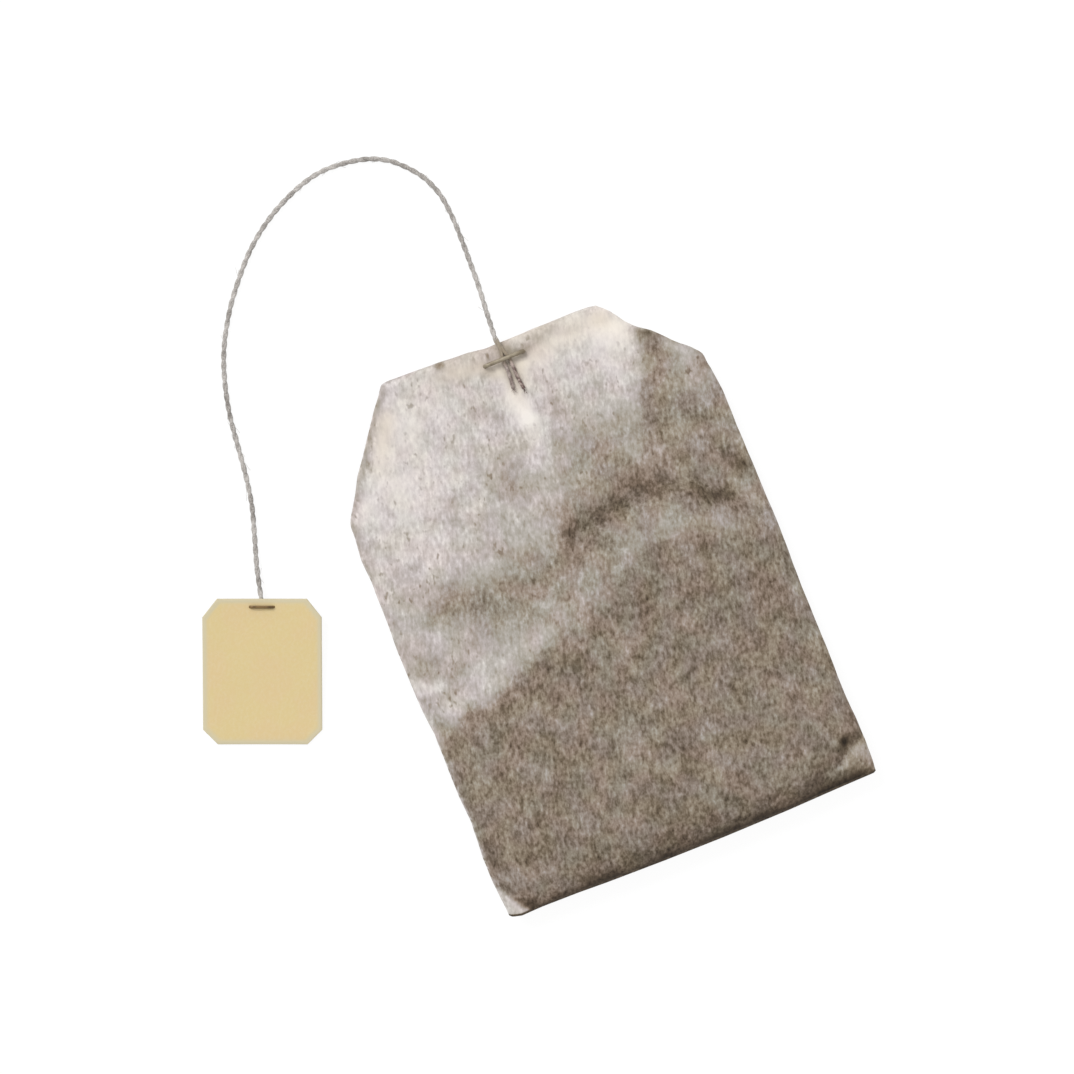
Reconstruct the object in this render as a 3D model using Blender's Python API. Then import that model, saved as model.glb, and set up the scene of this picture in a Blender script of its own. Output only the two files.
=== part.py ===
"""Double-chamber tea bag lying on its back, with its string and card tag laid out beside it.

Units are metres. X runs across the bag, Y runs from its folded bottom edge towards the string, and Z
is up. The origin is on the surface that the bag lies on, under the middle of the bag.

The filter paper is one flattened tube. It starts as a flap behind the top edge, turns over that edge,
runs down as the front chamber, is pleated up and down between the chambers, runs up again as the
back chamber and ends in a second flap inside the first one.
"""
import math

import bmesh
import bpy
from mathutils import Matrix, Vector

# Paper
PAPER = 0.00012
PLY_GAP = 0.00012
BAG_WIDTH = 0.0512
BAG_LENGTH = 0.0700
PLEAT_HEIGHT = 0.0090
PLEAT_EASE = (0.0010, 0.0160)
TOP_FLAP = 0.0078
LEFT_SHOULDER_RUN = 0.0105
LEFT_SHOULDER_RISE = 0.0152
RIGHT_SHOULDER_RUN = 0.0118
RIGHT_SHOULDER_RISE = 0.0128
SHOULDER_ROUNDING = 0.0012
CORNER_FOLD = 0.00030
CORNER_FOLD_GAP = 0.0016
CORNER_FOLD_INSET = 0.00005
CREASE_WALL = 0.00035
CREASE_JOIN = (0.00012, 0.00040)
CREASE_JOIN_DEPTH = 0.00002

# Filling: how far each chamber swells beyond its side creases
FRONT_SWELL = 0.0029
BACK_SWELL = 0.0028
BOTTOM_ROUNDING = 0.0085
FRONT_FULL_TO = 0.0040
FRONT_FLAT_FROM = 0.0275
BACK_FULL_TO = 0.0020
BACK_FLAT_FROM = 0.0185
SLACK_SHARE = 0.50
SETTLED_BLEND = 0.0060
ARCH_CREASE_DEPTH = 0.0007
ARCH_CREASE_WIDTH = 0.0019
ARCH_CREASE_START = -0.0020
POCKET_HEIGHT = 0.0007
POCKET_RADIUS = 0.0065
POCKET_CENTRE = (0.0195, 0.0180)
RELIEF_EDGE = 0.0040

# Leaf tea
TEA_GAP = 0.00055
TEA_SIDE_GAP = 0.0011
TEA_BOTTOM_GAP = 0.0005
TEA_EDGE_SLOPE = 0.55
TEA_LEAST = 0.00015
TEA_THINNEST = 0.00003
FRONT_TEA_TOP = 0.0235
BACK_TEA_TOP = 0.0110
TONGUE_EDGE = 0.0150

# Line on the front below which the leaf has settled, from the left crease to the right crease
SETTLED_LINE = (
    (-0.0256, -0.0090),
    (-0.0145, -0.0077),
    (-0.0076, -0.0028),
    (-0.0013, 0.0030),
    (0.0030, 0.0095),
    (0.0113, 0.0117),
    (0.0171, 0.0092),
    (0.0256, 0.0040),
)

# Bag staple
STAPLE_WIRE = 0.00055
STAPLE_CROWN = 0.0058
STAPLE_X = 0.0007
STAPLE_BELOW_TOP = 0.0029
STAPLE_BEND = 0.00045
STAPLE_CLEARANCE = 0.00005
STAPLE_HOLE_PLAY = 0.00010
STAPLE_FLOOR_GAP = 0.00015
STAPLE_TIP_GAP = 0.0009

# String
STRING_DIAMETER = 0.00070
PLY_DIAMETER = 0.00040
STRING_STEP = 0.0018

# Tag
TAG_WIDTH = 0.0154
TAG_LENGTH = 0.0189
TAG_CARD = 0.00035
TAG_TOP_CHAMFER = (0.0019, 0.0024)
TAG_BOTTOM_CHAMFER = (0.0019, 0.0019)
TAG_CENTRE = (-0.0433, 0.0064)
TAG_TURN = math.radians(-21.9)
TAG_FLOOR_GAP = 0.00002

# Tag staple
TAG_STAPLE_WIRE = 0.00045
TAG_STAPLE_CROWN = 0.0036
TAG_STAPLE_BELOW_TOP = 0.00105
TAG_STAPLE_BEND = 0.00035
TAG_STAPLE_TIP_GAP = 0.0006

# Fineness of the meshes
SIDE_STEPS = 8
CHAMBER_STEPS = 14
NEAR_BOTTOM_STEPS = (0.0, 0.0006, 0.0015, 0.0030, 0.0052)
SHOULDER_STEPS = 8
FOLD_STEPS = 5
TOP_FOLD_STEPS = 6
HOLE_SIDES = 12
WIRE_RESOLUTION = 2
BEND_STEPS = 4

# Thickness of the flattened tube, and the step from one flattened tube to the next
FLAT = 2 * PAPER + PLY_GAP
PITCH = FLAT + PLY_GAP

# Heights, from the staple's clinched legs up
OUTER_FLAP_Z = STAPLE_FLOOR_GAP + STAPLE_WIRE + STAPLE_CLEARANCE + FLAT / 2
INNER_FLAP_Z = OUTER_FLAP_Z + PITCH
CORNER_Z = INNER_FLAP_Z + FLAT / 2 + PLY_GAP + CORNER_FOLD / 2
BACK_Z = CORNER_Z + CORNER_FOLD / 2 + PLY_GAP + FLAT / 2
FRONT_TOP_Z = BACK_Z + PITCH
FRONT_BOTTOM_Z = BACK_Z + 3 * PITCH
FRONT_FACE_Z = FRONT_TOP_Z + FLAT / 2

# Places along the bag
BOTTOM_Y = -BAG_LENGTH / 2
TOP_Y = BAG_LENGTH / 2
BOTTOM_FOLD_RADIUS = PITCH / 2
BOTTOM_FOLD_Y = BOTTOM_Y + BOTTOM_FOLD_RADIUS + FLAT / 2
OUTER_FOLD_RADIUS = (FRONT_TOP_Z - OUTER_FLAP_Z) / 2
INNER_FOLD_RADIUS = (BACK_Z - INNER_FLAP_Z) / 2
TOP_FOLD_Y = TOP_Y - OUTER_FOLD_RADIUS - FLAT / 2
PLEAT_Y = BOTTOM_FOLD_Y + PLEAT_HEIGHT
OUTER_FLAP_END_Y = TOP_FOLD_Y - TOP_FLAP + math.pi * PITCH
INNER_FLAP_END_Y = TOP_FOLD_Y - TOP_FLAP

# Route of the string's centre, from above the staple to its clamped end behind the tag
STRING_ROUTE = (
    (0.00085, 0.0333, 0.00337),
    (0.00064, 0.0348, 0.00328),
    (0.00074, 0.0366, 0.00255),
    (0.00094, 0.0392, 0.00125),
    (0.00120, 0.0424, 0.00050),
    (0.00132, 0.0458, 0.00037),
    (0.00140, 0.0491, 0.00037),
    (0.00135, 0.0523, 0.00037),
    (0.00098, 0.0551, 0.00037),
    (0.00012, 0.0574, 0.00037),
    (-0.00090, 0.0590, 0.00037),
    (-0.00215, 0.0604, 0.00037),
    (-0.00380, 0.0618, 0.00037),
    (-0.00620, 0.0629, 0.00037),
    (-0.00935, 0.0635, 0.00037),
    (-0.01270, 0.0635, 0.00037),
    (-0.01640, 0.0625, 0.00037),
    (-0.02070, 0.0604, 0.00037),
    (-0.02465, 0.0574, 0.00037),
    (-0.02845, 0.0532, 0.00037),
    (-0.03090, 0.0497, 0.00037),
    (-0.03270, 0.0463, 0.00037),
    (-0.03400, 0.0426, 0.00037),
    (-0.03490, 0.0387, 0.00037),
    (-0.03540, 0.0348, 0.00037),
    (-0.03590, 0.0307, 0.00037),
    (-0.03660, 0.0269, 0.00037),
    (-0.03770, 0.0232, 0.00040),
    (-0.03890, 0.0194, 0.00060),
    (-0.03970, 0.0162, 0.00084),
    (-0.04020, 0.0143, 0.00086),
    (-0.04130, 0.0114, 0.00058),
)

# Routes of the two plies that part under the bag staple
LEFT_PLY_ROUTE = (
    (0.00072, 0.0342, 0.00338),
    (0.00055, 0.0332, 0.00330),
    (0.00032, 0.0322, 0.00322),
    (0.00025, 0.0312, 0.00322),
    (0.00022, 0.0298, 0.00326),
    (0.00036, 0.0281, 0.00330),
)
RIGHT_PLY_ROUTE = (
    (0.00092, 0.0342, 0.00338),
    (0.00115, 0.0332, 0.00330),
    (0.00140, 0.0322, 0.00322),
    (0.00144, 0.0312, 0.00322),
    (0.00150, 0.0294, 0.00327),
    (0.00178, 0.0274, 0.00338),
)


def new_collection(name):
    """A collection linked to the scene."""
    collection = bpy.data.collections.new(name)
    bpy.context.scene.collection.children.link(collection)
    return collection


def material(name, colour, roughness, metallic=0.0):
    """A Principled material of one plain finish."""
    finish = bpy.data.materials.new(name)
    finish.use_nodes = True
    shader = finish.node_tree.nodes["Principled BSDF"]
    shader.inputs["Base Color"].default_value = (*colour, 1.0)
    shader.inputs["Roughness"].default_value = roughness
    shader.inputs["Metallic"].default_value = metallic
    return finish


def mesh_object(name, bm, collection, finish=None):
    """Turns a bmesh into a smooth shaded object."""
    bmesh.ops.recalc_face_normals(bm, faces=bm.faces)
    mesh = bpy.data.meshes.new(name)
    bm.to_mesh(mesh)
    bm.free()
    mesh.shade_smooth()
    mesh.set_sharp_from_angle(angle=math.radians(40))
    if finish:
        mesh.materials.append(finish)
    obj = bpy.data.objects.new(name, mesh)
    collection.objects.link(obj)
    return obj


def as_helper(obj):
    """Marks an object that only cuts or joins another."""
    obj.hide_render = True
    obj.display_type = "WIRE"
    return obj


def curve_to_mesh(obj, collection):
    """Replaces a curve object by a welded mesh object in the same place."""
    depsgraph = bpy.context.evaluated_depsgraph_get()
    mesh = bpy.data.meshes.new_from_object(obj.evaluated_get(depsgraph))
    bm = bmesh.new()
    bm.from_mesh(mesh)
    bmesh.ops.remove_doubles(bm, verts=bm.verts, dist=0.000001)
    bmesh.ops.recalc_face_normals(bm, faces=bm.faces)
    bm.to_mesh(mesh)
    bm.free()
    name = obj.name
    place = obj.matrix_world.copy()
    curve = obj.data
    bpy.data.objects.remove(obj)
    bpy.data.curves.remove(curve)
    solid = bpy.data.objects.new(name, mesh)
    solid.matrix_world = place
    collection.objects.link(solid)
    return solid


def wire(name, points, diameter, collection, finish=None):
    """A round wire or thread through the points, as a closed mesh."""
    curve = bpy.data.curves.new(name, "CURVE")
    curve.dimensions = "3D"
    curve.bevel_depth = diameter / 2
    curve.bevel_resolution = WIRE_RESOLUTION
    curve.use_fill_caps = True
    spline = curve.splines.new("POLY")
    spline.points.add(len(points) - 1)
    for point, place in zip(spline.points, points):
        point.co = (*place, 1.0)
    obj = bpy.data.objects.new(name, curve)
    collection.objects.link(obj)
    solid = curve_to_mesh(obj, collection)
    solid.data.shade_smooth()
    solid.data.set_sharp_from_angle(angle=math.radians(50))
    if finish:
        solid.data.materials.clear()
        solid.data.materials.append(finish)
    return solid


def plate(name, outline, height, thickness, collection, finish=None):
    """A flat plate of an outline in XY, with its middle at a height."""
    curve = bpy.data.curves.new(name, "CURVE")
    curve.dimensions = "2D"
    curve.fill_mode = "BOTH"
    curve.extrude = thickness / 2
    spline = curve.splines.new("POLY")
    spline.points.add(len(outline) - 1)
    spline.use_cyclic_u = True
    for point, (x, y) in zip(spline.points, outline):
        point.co = (x, y, 0.0, 1.0)
    obj = bpy.data.objects.new(name, curve)
    obj.location.z = height
    collection.objects.link(obj)
    bpy.context.view_layer.update()
    solid = curve_to_mesh(obj, collection)
    if finish:
        solid.data.materials.clear()
        solid.data.materials.append(finish)
    return solid


def boolean(obj, operation, helper):
    """Joins a helper to an object, or cuts it away."""
    modifier = obj.modifiers.new(f"{operation.lower()} {helper.name}", "BOOLEAN")
    modifier.operation = operation
    modifier.object = helper
    modifier.solver = "EXACT"


def band(bm, row, following):
    """Faces between two rings of vertices."""
    for index, vertex in enumerate(row):
        after = (index + 1) % len(row)
        bm.faces.new((vertex, row[after], following[after], following[index]))


def skin(bm, rings):
    """A skin through rings of the same number of points; gives back its rows of vertices."""
    rows = [[bm.verts.new(point) for point in ring] for ring in rings]
    for row, following in zip(rows, rows[1:]):
        band(bm, row, following)
    return rows


def lump(rings):
    """A closed solid through rings."""
    bm = bmesh.new()
    rows = skin(bm, rings)
    bm.faces.new(rows[0])
    bm.faces.new(rows[-1])
    return bm


def open_tube(pairs):
    """A tube with a wall, through pairs of an outer and an inner ring, open at both ends."""
    bm = bmesh.new()
    outer = skin(bm, [pair[0] for pair in pairs])
    inner = skin(bm, [pair[1] for pair in pairs])
    band(bm, outer[0], inner[0])
    band(bm, outer[-1], inner[-1])
    return bm


def smooth_step(value, low, high):
    """Rises softly from 0 at low to 1 at high."""
    share = min(max((value - low) / (high - low), 0.0), 1.0)
    return share * share * (3 - 2 * share)


def side(y, direction):
    """Distance from the middle to the left (-1) or right (1) crease of the folded bag."""
    run = LEFT_SHOULDER_RUN if direction < 0 else RIGHT_SHOULDER_RUN
    rise = LEFT_SHOULDER_RISE if direction < 0 else RIGHT_SHOULDER_RISE
    past = (y - (TOP_Y - rise)) * run / rise
    return BAG_WIDTH / 2 - (past + math.hypot(past, SHOULDER_ROUNDING)) / 2


def settled_height(x):
    """Y of the line below which the leaf has settled."""
    for (x0, y0), (x1, y1) in zip(SETTLED_LINE, SETTLED_LINE[1:]):
        if x <= x1:
            return y0 + (y1 - y0) * max(x - x0, 0.0) / (x1 - x0)
    return SETTLED_LINE[-1][1]


def swell(x, y, full_to, flat_from):
    """Share of a chamber's swelling at a place: none at its creases and its flattened top."""
    half = side(y, math.copysign(1, x))
    across = max(1 - abs(x / half) ** 4, 0.0) ** 0.75
    up = min(max((y - BOTTOM_Y) / BOTTOM_ROUNDING, 0.0), 1.0)
    bottom = (1 - (1 - up) ** 2.4) ** 0.8
    top = 1 - smooth_step(y, full_to, flat_from)
    return across * bottom * top


def front_rise(x, y):
    """How far the front face stands above its side creases."""
    share = swell(x, y, FRONT_FULL_TO, FRONT_FLAT_FROM)
    line = settled_height(x)
    settled = 1 - smooth_step(y, line - SETTLED_BLEND, line + SETTLED_BLEND)
    rise = FRONT_SWELL * share * (SLACK_SHARE + (1 - SLACK_SHARE) * settled)
    pocket_x, pocket_y = POCKET_CENTRE
    pocket = math.exp(-((x - pocket_x) ** 2 + (y - pocket_y) ** 2) / POCKET_RADIUS ** 2)
    edge = smooth_step(side(y, math.copysign(1, x)) - abs(x), 0.0, RELIEF_EDGE)
    rise += POCKET_HEIGHT * pocket * edge
    crease = math.exp(-(((y - line) / ARCH_CREASE_WIDTH) ** 2))
    crease *= smooth_step(x, ARCH_CREASE_START, ARCH_CREASE_START + RELIEF_EDGE)
    rise -= min(ARCH_CREASE_DEPTH * crease * edge, rise * 0.6)
    return FLAT / 2 + rise


def back_rise(x, y):
    """How far the back face stands below its side creases, flat where it meets the surface."""
    return min(FLAT / 2 + BACK_SWELL * swell(x, y, BACK_FULL_TO, BACK_FLAT_FROM), BACK_Z)


def flat_rise(x, y):
    """Half thickness of the flattened tube."""
    return FLAT / 2


def front_z(y):
    """Height of the front chamber's creases: it steps down past the pleat."""
    drop = smooth_step(y, PLEAT_Y + PLEAT_EASE[0], PLEAT_Y + PLEAT_EASE[1])
    return FRONT_BOTTOM_Z + (FRONT_TOP_Z - FRONT_BOTTOM_Z) * drop


def across_places(left, right):
    """Places across a section, closer near its two creases."""
    steps = [math.sin(math.pi / 2 * k / SIDE_STEPS) for k in range(-SIDE_STEPS, SIDE_STEPS + 1)]
    return [(right + left) / 2 + (right - left) / 2 * step for step in steps]


def section(y, left, right, top, bottom, place):
    """Ring of points: over the top from left to right, then back under it."""
    xs = across_places(left, right)
    ring = [place(xs[0], 0.0)]
    ring += [place(x, top(x, y)) for x in xs[1:-1]]
    ring += [place(xs[-1], 0.0)]
    ring += [place(x, -bottom(x, y)) for x in reversed(xs[1:-1])]
    return ring


def paper_face(face, x, y):
    """Height of the paper's own flat facets over a place, from a face's smooth height."""
    xs = across_places(-side(y, -1), side(y, 1))
    heights = [0.0] + [face(place, y) for place in xs[1:-1]] + [0.0]
    for x0, x1, h0, h1 in zip(xs, xs[1:], heights, heights[1:]):
        if x <= x1:
            return h0 + (h1 - h0) * (x - x0) / (x1 - x0)
    return 0.0


def tube_ring(y, z, turn, width_y, top, bottom):
    """Outer and inner section of the paper tube at (y, z), its front side turned about X from up."""
    def place(x, height):
        return Vector((x, y - math.sin(turn) * height, z + math.cos(turn) * height))

    left, right = -side(width_y, -1), side(width_y, 1)
    outer = section(width_y, left, right, top, bottom, place)
    inner = section(width_y, left + CREASE_WALL, right - CREASE_WALL,
                    lambda x, v: paper_face(top, x, v) - PAPER,
                    lambda x, v: paper_face(bottom, x, v) - PAPER, place)
    return outer, inner


def fold_rings(centre_y, centre_z, radius, start, end, steps, face_out):
    """Sections round a fold: the tube's middle goes round the centre from one angle to another."""
    rings = []
    for step in range(1, steps):
        angle = start + (end - start) * step / steps
        y = centre_y + radius * math.cos(angle)
        z = centre_z + radius * math.sin(angle)
        turn = angle - math.pi / 2 if face_out else angle + math.pi / 2
        rings.append(tube_ring(y, z, turn, centre_y, flat_rise, flat_rise))
    return rings


def chamber_places():
    """Places along a chamber, from its bottom fold to its top fold, closer near the bottom."""
    places = [BOTTOM_FOLD_Y + step for step in NEAR_BOTTOM_STEPS]
    start = places[-1]
    pitch = (TOP_FOLD_Y - start) / CHAMBER_STEPS
    return places + [start + pitch * (k + 1) for k in range(CHAMBER_STEPS)]


def flap_rings(end_y, z, turn):
    """Sections of a flap, from its open end to the fold; it narrows as the shoulders do."""
    rings = []
    for share in (0.0, 0.5, 1.0):
        y = end_y + (TOP_FOLD_Y - end_y) * share
        rings.append(tube_ring(y, z, turn, 2 * TOP_Y - y - (TOP_Y - TOP_FOLD_Y), flat_rise, flat_rise))
    return rings


def paper_rings():
    """All sections of the folded tube in order, from the outer flap to the inner flap."""
    up, down = math.pi / 2, -math.pi / 2
    fold_z = (FRONT_TOP_Z + OUTER_FLAP_Z) / 2
    places = chamber_places()
    pleat_1_z = FRONT_BOTTOM_Z - PITCH
    pleat_2_z = BACK_Z + PITCH
    rings = flap_rings(OUTER_FLAP_END_Y, OUTER_FLAP_Z, math.pi)
    rings += fold_rings(TOP_FOLD_Y, fold_z, OUTER_FOLD_RADIUS, down, up, TOP_FOLD_STEPS, True)
    rings += [tube_ring(y, front_z(y), 0.0, y, front_rise, flat_rise) for y in reversed(places)]
    rings += fold_rings(BOTTOM_FOLD_Y, FRONT_BOTTOM_Z - PITCH / 2, BOTTOM_FOLD_RADIUS,
                        up, up + math.pi, FOLD_STEPS, True)
    rings.append(tube_ring(BOTTOM_FOLD_Y, pleat_1_z, math.pi, BOTTOM_FOLD_Y, flat_rise, flat_rise))
    rings.append(tube_ring(PLEAT_Y, pleat_1_z, math.pi, PLEAT_Y, flat_rise, flat_rise))
    rings += fold_rings(PLEAT_Y, BACK_Z + PITCH * 1.5, BOTTOM_FOLD_RADIUS, up, down, FOLD_STEPS, False)
    rings.append(tube_ring(PLEAT_Y, pleat_2_z, 0.0, PLEAT_Y, flat_rise, flat_rise))
    rings.append(tube_ring(BOTTOM_FOLD_Y, pleat_2_z, 0.0, BOTTOM_FOLD_Y, flat_rise, flat_rise))
    rings += fold_rings(BOTTOM_FOLD_Y, BACK_Z + PITCH / 2, BOTTOM_FOLD_RADIUS,
                        up, up + math.pi, FOLD_STEPS, True)
    rings += [tube_ring(y, BACK_Z, math.pi, y, back_rise, flat_rise) for y in places]
    rings += fold_rings(TOP_FOLD_Y, fold_z, INNER_FOLD_RADIUS, up, down, TOP_FOLD_STEPS, False)
    rings += reversed(flap_rings(INNER_FLAP_END_Y, INNER_FLAP_Z, 0.0))
    return rings


def shoulder_edge(direction, inset):
    """Points along the folded shoulder, from its foot to the top fold."""
    rise = LEFT_SHOULDER_RISE if direction < 0 else RIGHT_SHOULDER_RISE
    foot = TOP_Y - rise
    pitch = (TOP_FOLD_Y - foot) / SHOULDER_STEPS
    places = [foot + pitch * k for k in range(SHOULDER_STEPS + 1)]
    return [(direction * (side(y, direction) - inset), y) for y in places]


def corner_outline(direction):
    """Outline of a top corner folded behind the bag: the side crease mirrored in the shoulder."""
    run = LEFT_SHOULDER_RUN if direction < 0 else RIGHT_SHOULDER_RUN
    rise = LEFT_SHOULDER_RISE if direction < 0 else RIGHT_SHOULDER_RISE
    length = math.hypot(run, rise)
    along_x, along_y = -run / length, rise / length
    mirrored_x, mirrored_y = 2 * along_y * along_x, 2 * along_y * along_y - 1
    edge = shoulder_edge(direction, CORNER_FOLD_INSET)
    foot_x, foot_y = edge[0]
    inner_x = direction * CORNER_FOLD_GAP / 2
    inner_y = foot_y + (abs(foot_x) - abs(inner_x)) * mirrored_y / -mirrored_x
    return edge + [(inner_x, edge[-1][1]), (inner_x, inner_y)]


def corner_fold(name, direction, helpers):
    """Folded corner of the paper, with the crease that joins it to the back of the tube."""
    flap = plate(name, corner_outline(direction), CORNER_Z, CORNER_FOLD, helpers)
    outer, inner = (shoulder_edge(direction, inset) for inset in CREASE_JOIN)
    bottom = CORNER_Z - CORNER_FOLD / 4
    top = BACK_Z - CREASE_JOIN_DEPTH
    join = plate(f"{name} crease", outer + inner[::-1], (bottom + top) / 2, top - bottom, helpers)
    boolean(flap, "UNION", as_helper(join))
    return as_helper(flap)


def filter_paper(parts, helpers, finish):
    """The folded paper tube with its corner folds and the staple's holes."""
    paper = mesh_object("filter_paper", open_tube(paper_rings()), parts, finish)
    boolean(paper, "UNION", corner_fold("left corner", -1, helpers))
    boolean(paper, "UNION", corner_fold("right corner", 1, helpers))
    for name, x in (("left leg hole", -1), ("right leg hole", 1)):
        boolean(paper, "DIFFERENCE", leg_hole(name, STAPLE_X + x * staple_leg_offset(), helpers))
    return paper


def staple_leg_offset():
    """Distance from the staple's middle to the middle of a leg."""
    return (STAPLE_CROWN - STAPLE_WIRE) / 2


def leg_hole(name, x, helpers):
    """Cutter for one staple leg, through all layers of the paper."""
    low = OUTER_FLAP_Z - FLAT
    high = FRONT_TOP_Z + FLAT
    bm = bmesh.new()
    bmesh.ops.create_cone(bm, cap_ends=True, segments=HOLE_SIDES,
                          radius1=STAPLE_WIRE / 2 + STAPLE_HOLE_PLAY,
                          radius2=STAPLE_WIRE / 2 + STAPLE_HOLE_PLAY, depth=high - low)
    bmesh.ops.translate(bm, verts=bm.verts, vec=(x, TOP_Y - STAPLE_BELOW_TOP, (low + high) / 2))
    return as_helper(mesh_object(name, bm, helpers))


def tea_charge(name, places, left, right, base_z, top, bottom, parts, finish):
    """Loose leaf in a chamber, as one solid that clears the paper all round."""
    inset = PAPER + TEA_GAP
    rings = []
    for y in places:
        low, high = left(y), right(y)
        end = min(y - places[0], places[-1] - y)
        cover = TEA_LEAST + TEA_EDGE_SLOPE * end

        def bounded(face, x, height_y):
            edge = TEA_LEAST + TEA_EDGE_SLOPE * min(x - low, high - x)
            return max(min(paper_face(face, x, height_y) - inset, edge, cover), TEA_THINNEST)

        def place(x, height, here=y):
            return Vector((x, here, base_z(here) + height))

        rings.append(section(y, low, high, lambda x, v: bounded(top, x, v),
                             lambda x, v: bounded(bottom, x, v), place))
    return mesh_object(name, lump(rings), parts, finish)


def tea_places(top):
    """Places of the paper's own sections that the leaf fills."""
    return [y for y in chamber_places() if BOTTOM_FOLD_Y + TEA_BOTTOM_GAP < y < top]


def tea_left(y):
    """Left limit of the leaf beside the paper's crease."""
    return -side(y, -1) + TEA_SIDE_GAP


def tea_right(y):
    """Right limit of the leaf beside the paper's crease."""
    return side(y, 1) - TEA_SIDE_GAP


def front_tea_left(y):
    """Left limit of the front leaf: the settled line, then a tongue up the right side."""
    edge = tea_left(y)
    for (x0, y0), (x1, y1) in zip(SETTLED_LINE[:5], SETTLED_LINE[1:5]):
        if y0 <= y < y1:
            return max(edge, x0 + (x1 - x0) * (y - y0) / (y1 - y0))
    if y < SETTLED_LINE[0][1]:
        return edge
    start, start_y = SETTLED_LINE[4]
    return start + (TONGUE_EDGE - start) * smooth_step(y, start_y, start_y + 0.005)


def staple_route(crown, wire_size, bend, crown_z, clinch_z, tip_gap):
    """Centre line of a closed staple in XZ: clinched tip, leg, crown, leg, clinched tip."""
    half = (crown - wire_size) / 2
    corners = [(-tip_gap, clinch_z), (-half, clinch_z), (-half, crown_z),
               (half, crown_z), (half, clinch_z), (tip_gap, clinch_z)]
    points = [(corners[0][0], 0.0, corners[0][1])]
    for before, corner, after in zip(corners, corners[1:], corners[2:]):
        start = Vector(before) - Vector(corner)
        end = Vector(after) - Vector(corner)
        size = min(bend, start.length / 2, end.length / 2)
        start = start.normalized() * size
        end = end.normalized() * size
        for step in range(BEND_STEPS + 1):
            angle = math.pi / 2 * step / BEND_STEPS
            spot = Vector(corner) + start * (1 - math.sin(angle)) + end * (1 - math.cos(angle))
            points.append((spot.x, 0.0, spot.y))
    points.append((corners[-1][0], 0.0, corners[-1][1]))
    return points


def smooth_route(route, step):
    """Points a step apart on a smooth curve through the route's points."""
    points = [Vector(point) for point in route]
    padded = [2 * points[0] - points[1]] + points + [2 * points[-1] - points[-2]]
    dense = []
    for before, start, end, after in zip(padded, padded[1:], padded[2:], padded[3:]):
        for k in range(12):
            t = k / 12
            dense.append(0.5 * (2 * start + (end - before) * t
                                + (2 * before - 5 * start + 4 * end - after) * t * t
                                + (3 * start - before - 3 * end + after) * t ** 3))
    dense.append(points[-1])
    length = sum((b - a).length for a, b in zip(dense, dense[1:]))
    count = round(length / step)
    spaced = [dense[0]]
    walked = 0.0
    for a, b in zip(dense, dense[1:]):
        walked += (b - a).length
        if walked >= length * len(spaced) / count - 1e-9:
            spaced.append(b)
    spaced[-1] = dense[-1]
    return spaced


def string(parts, helpers, finish):
    """The twisted thread, whose two plies part under the bag staple."""
    thread = wire("string", smooth_route(STRING_ROUTE, STRING_STEP), STRING_DIAMETER, parts, finish)
    for name, route in (("left ply", LEFT_PLY_ROUTE), ("right ply", RIGHT_PLY_ROUTE)):
        ply = wire(name, smooth_route(route, STRING_STEP / 2), PLY_DIAMETER, helpers)
        boolean(thread, "UNION", as_helper(ply))
    return thread


def tag_place():
    """Place of the tag: turned in plan, its top end raised by the string and the staple under it."""
    staple_height = TAG_FLOOR_GAP + TAG_STAPLE_WIRE + STAPLE_CLEARANCE + STRING_DIAMETER + STAPLE_CLEARANCE
    tilt = math.atan2(staple_height, TAG_LENGTH - TAG_STAPLE_BELOW_TOP)
    lift = TAG_FLOOR_GAP + math.sin(tilt) * TAG_LENGTH / 2 + math.cos(tilt) * TAG_CARD / 2
    return (Matrix.Translation((*TAG_CENTRE, lift)) @ Matrix.Rotation(TAG_TURN, 4, "Z")
            @ Matrix.Rotation(tilt, 4, "X"))


def tag_outline():
    """Octagonal outline of the card, from its bottom left corner round."""
    half, end = TAG_WIDTH / 2, TAG_LENGTH / 2
    top_x, top_y = TAG_TOP_CHAMFER
    low_x, low_y = TAG_BOTTOM_CHAMFER
    right = [(half - low_x, -end), (half, -end + low_y), (half, end - top_y), (half - top_x, end)]
    return right + [(-x, y) for x, y in reversed(right)]


def tag(parts, helpers, finish):
    """The card tag with its two staple holes."""
    card = plate("tag", tag_outline(), 0.0, TAG_CARD, parts, finish)
    card.matrix_world = tag_place()
    for name, direction in (("left tag hole", -1), ("right tag hole", 1)):
        bm = bmesh.new()
        radius = TAG_STAPLE_WIRE / 2 + STAPLE_HOLE_PLAY
        bmesh.ops.create_cone(bm, cap_ends=True, segments=HOLE_SIDES, radius1=radius, radius2=radius,
                              depth=TAG_CARD * 3)
        x = direction * (TAG_STAPLE_CROWN - TAG_STAPLE_WIRE) / 2
        bmesh.ops.translate(bm, verts=bm.verts, vec=(x, TAG_LENGTH / 2 - TAG_STAPLE_BELOW_TOP, 0.0))
        hole = as_helper(mesh_object(name, bm, helpers))
        hole.matrix_world = card.matrix_world
        boolean(card, "DIFFERENCE", hole)
    return card


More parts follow.
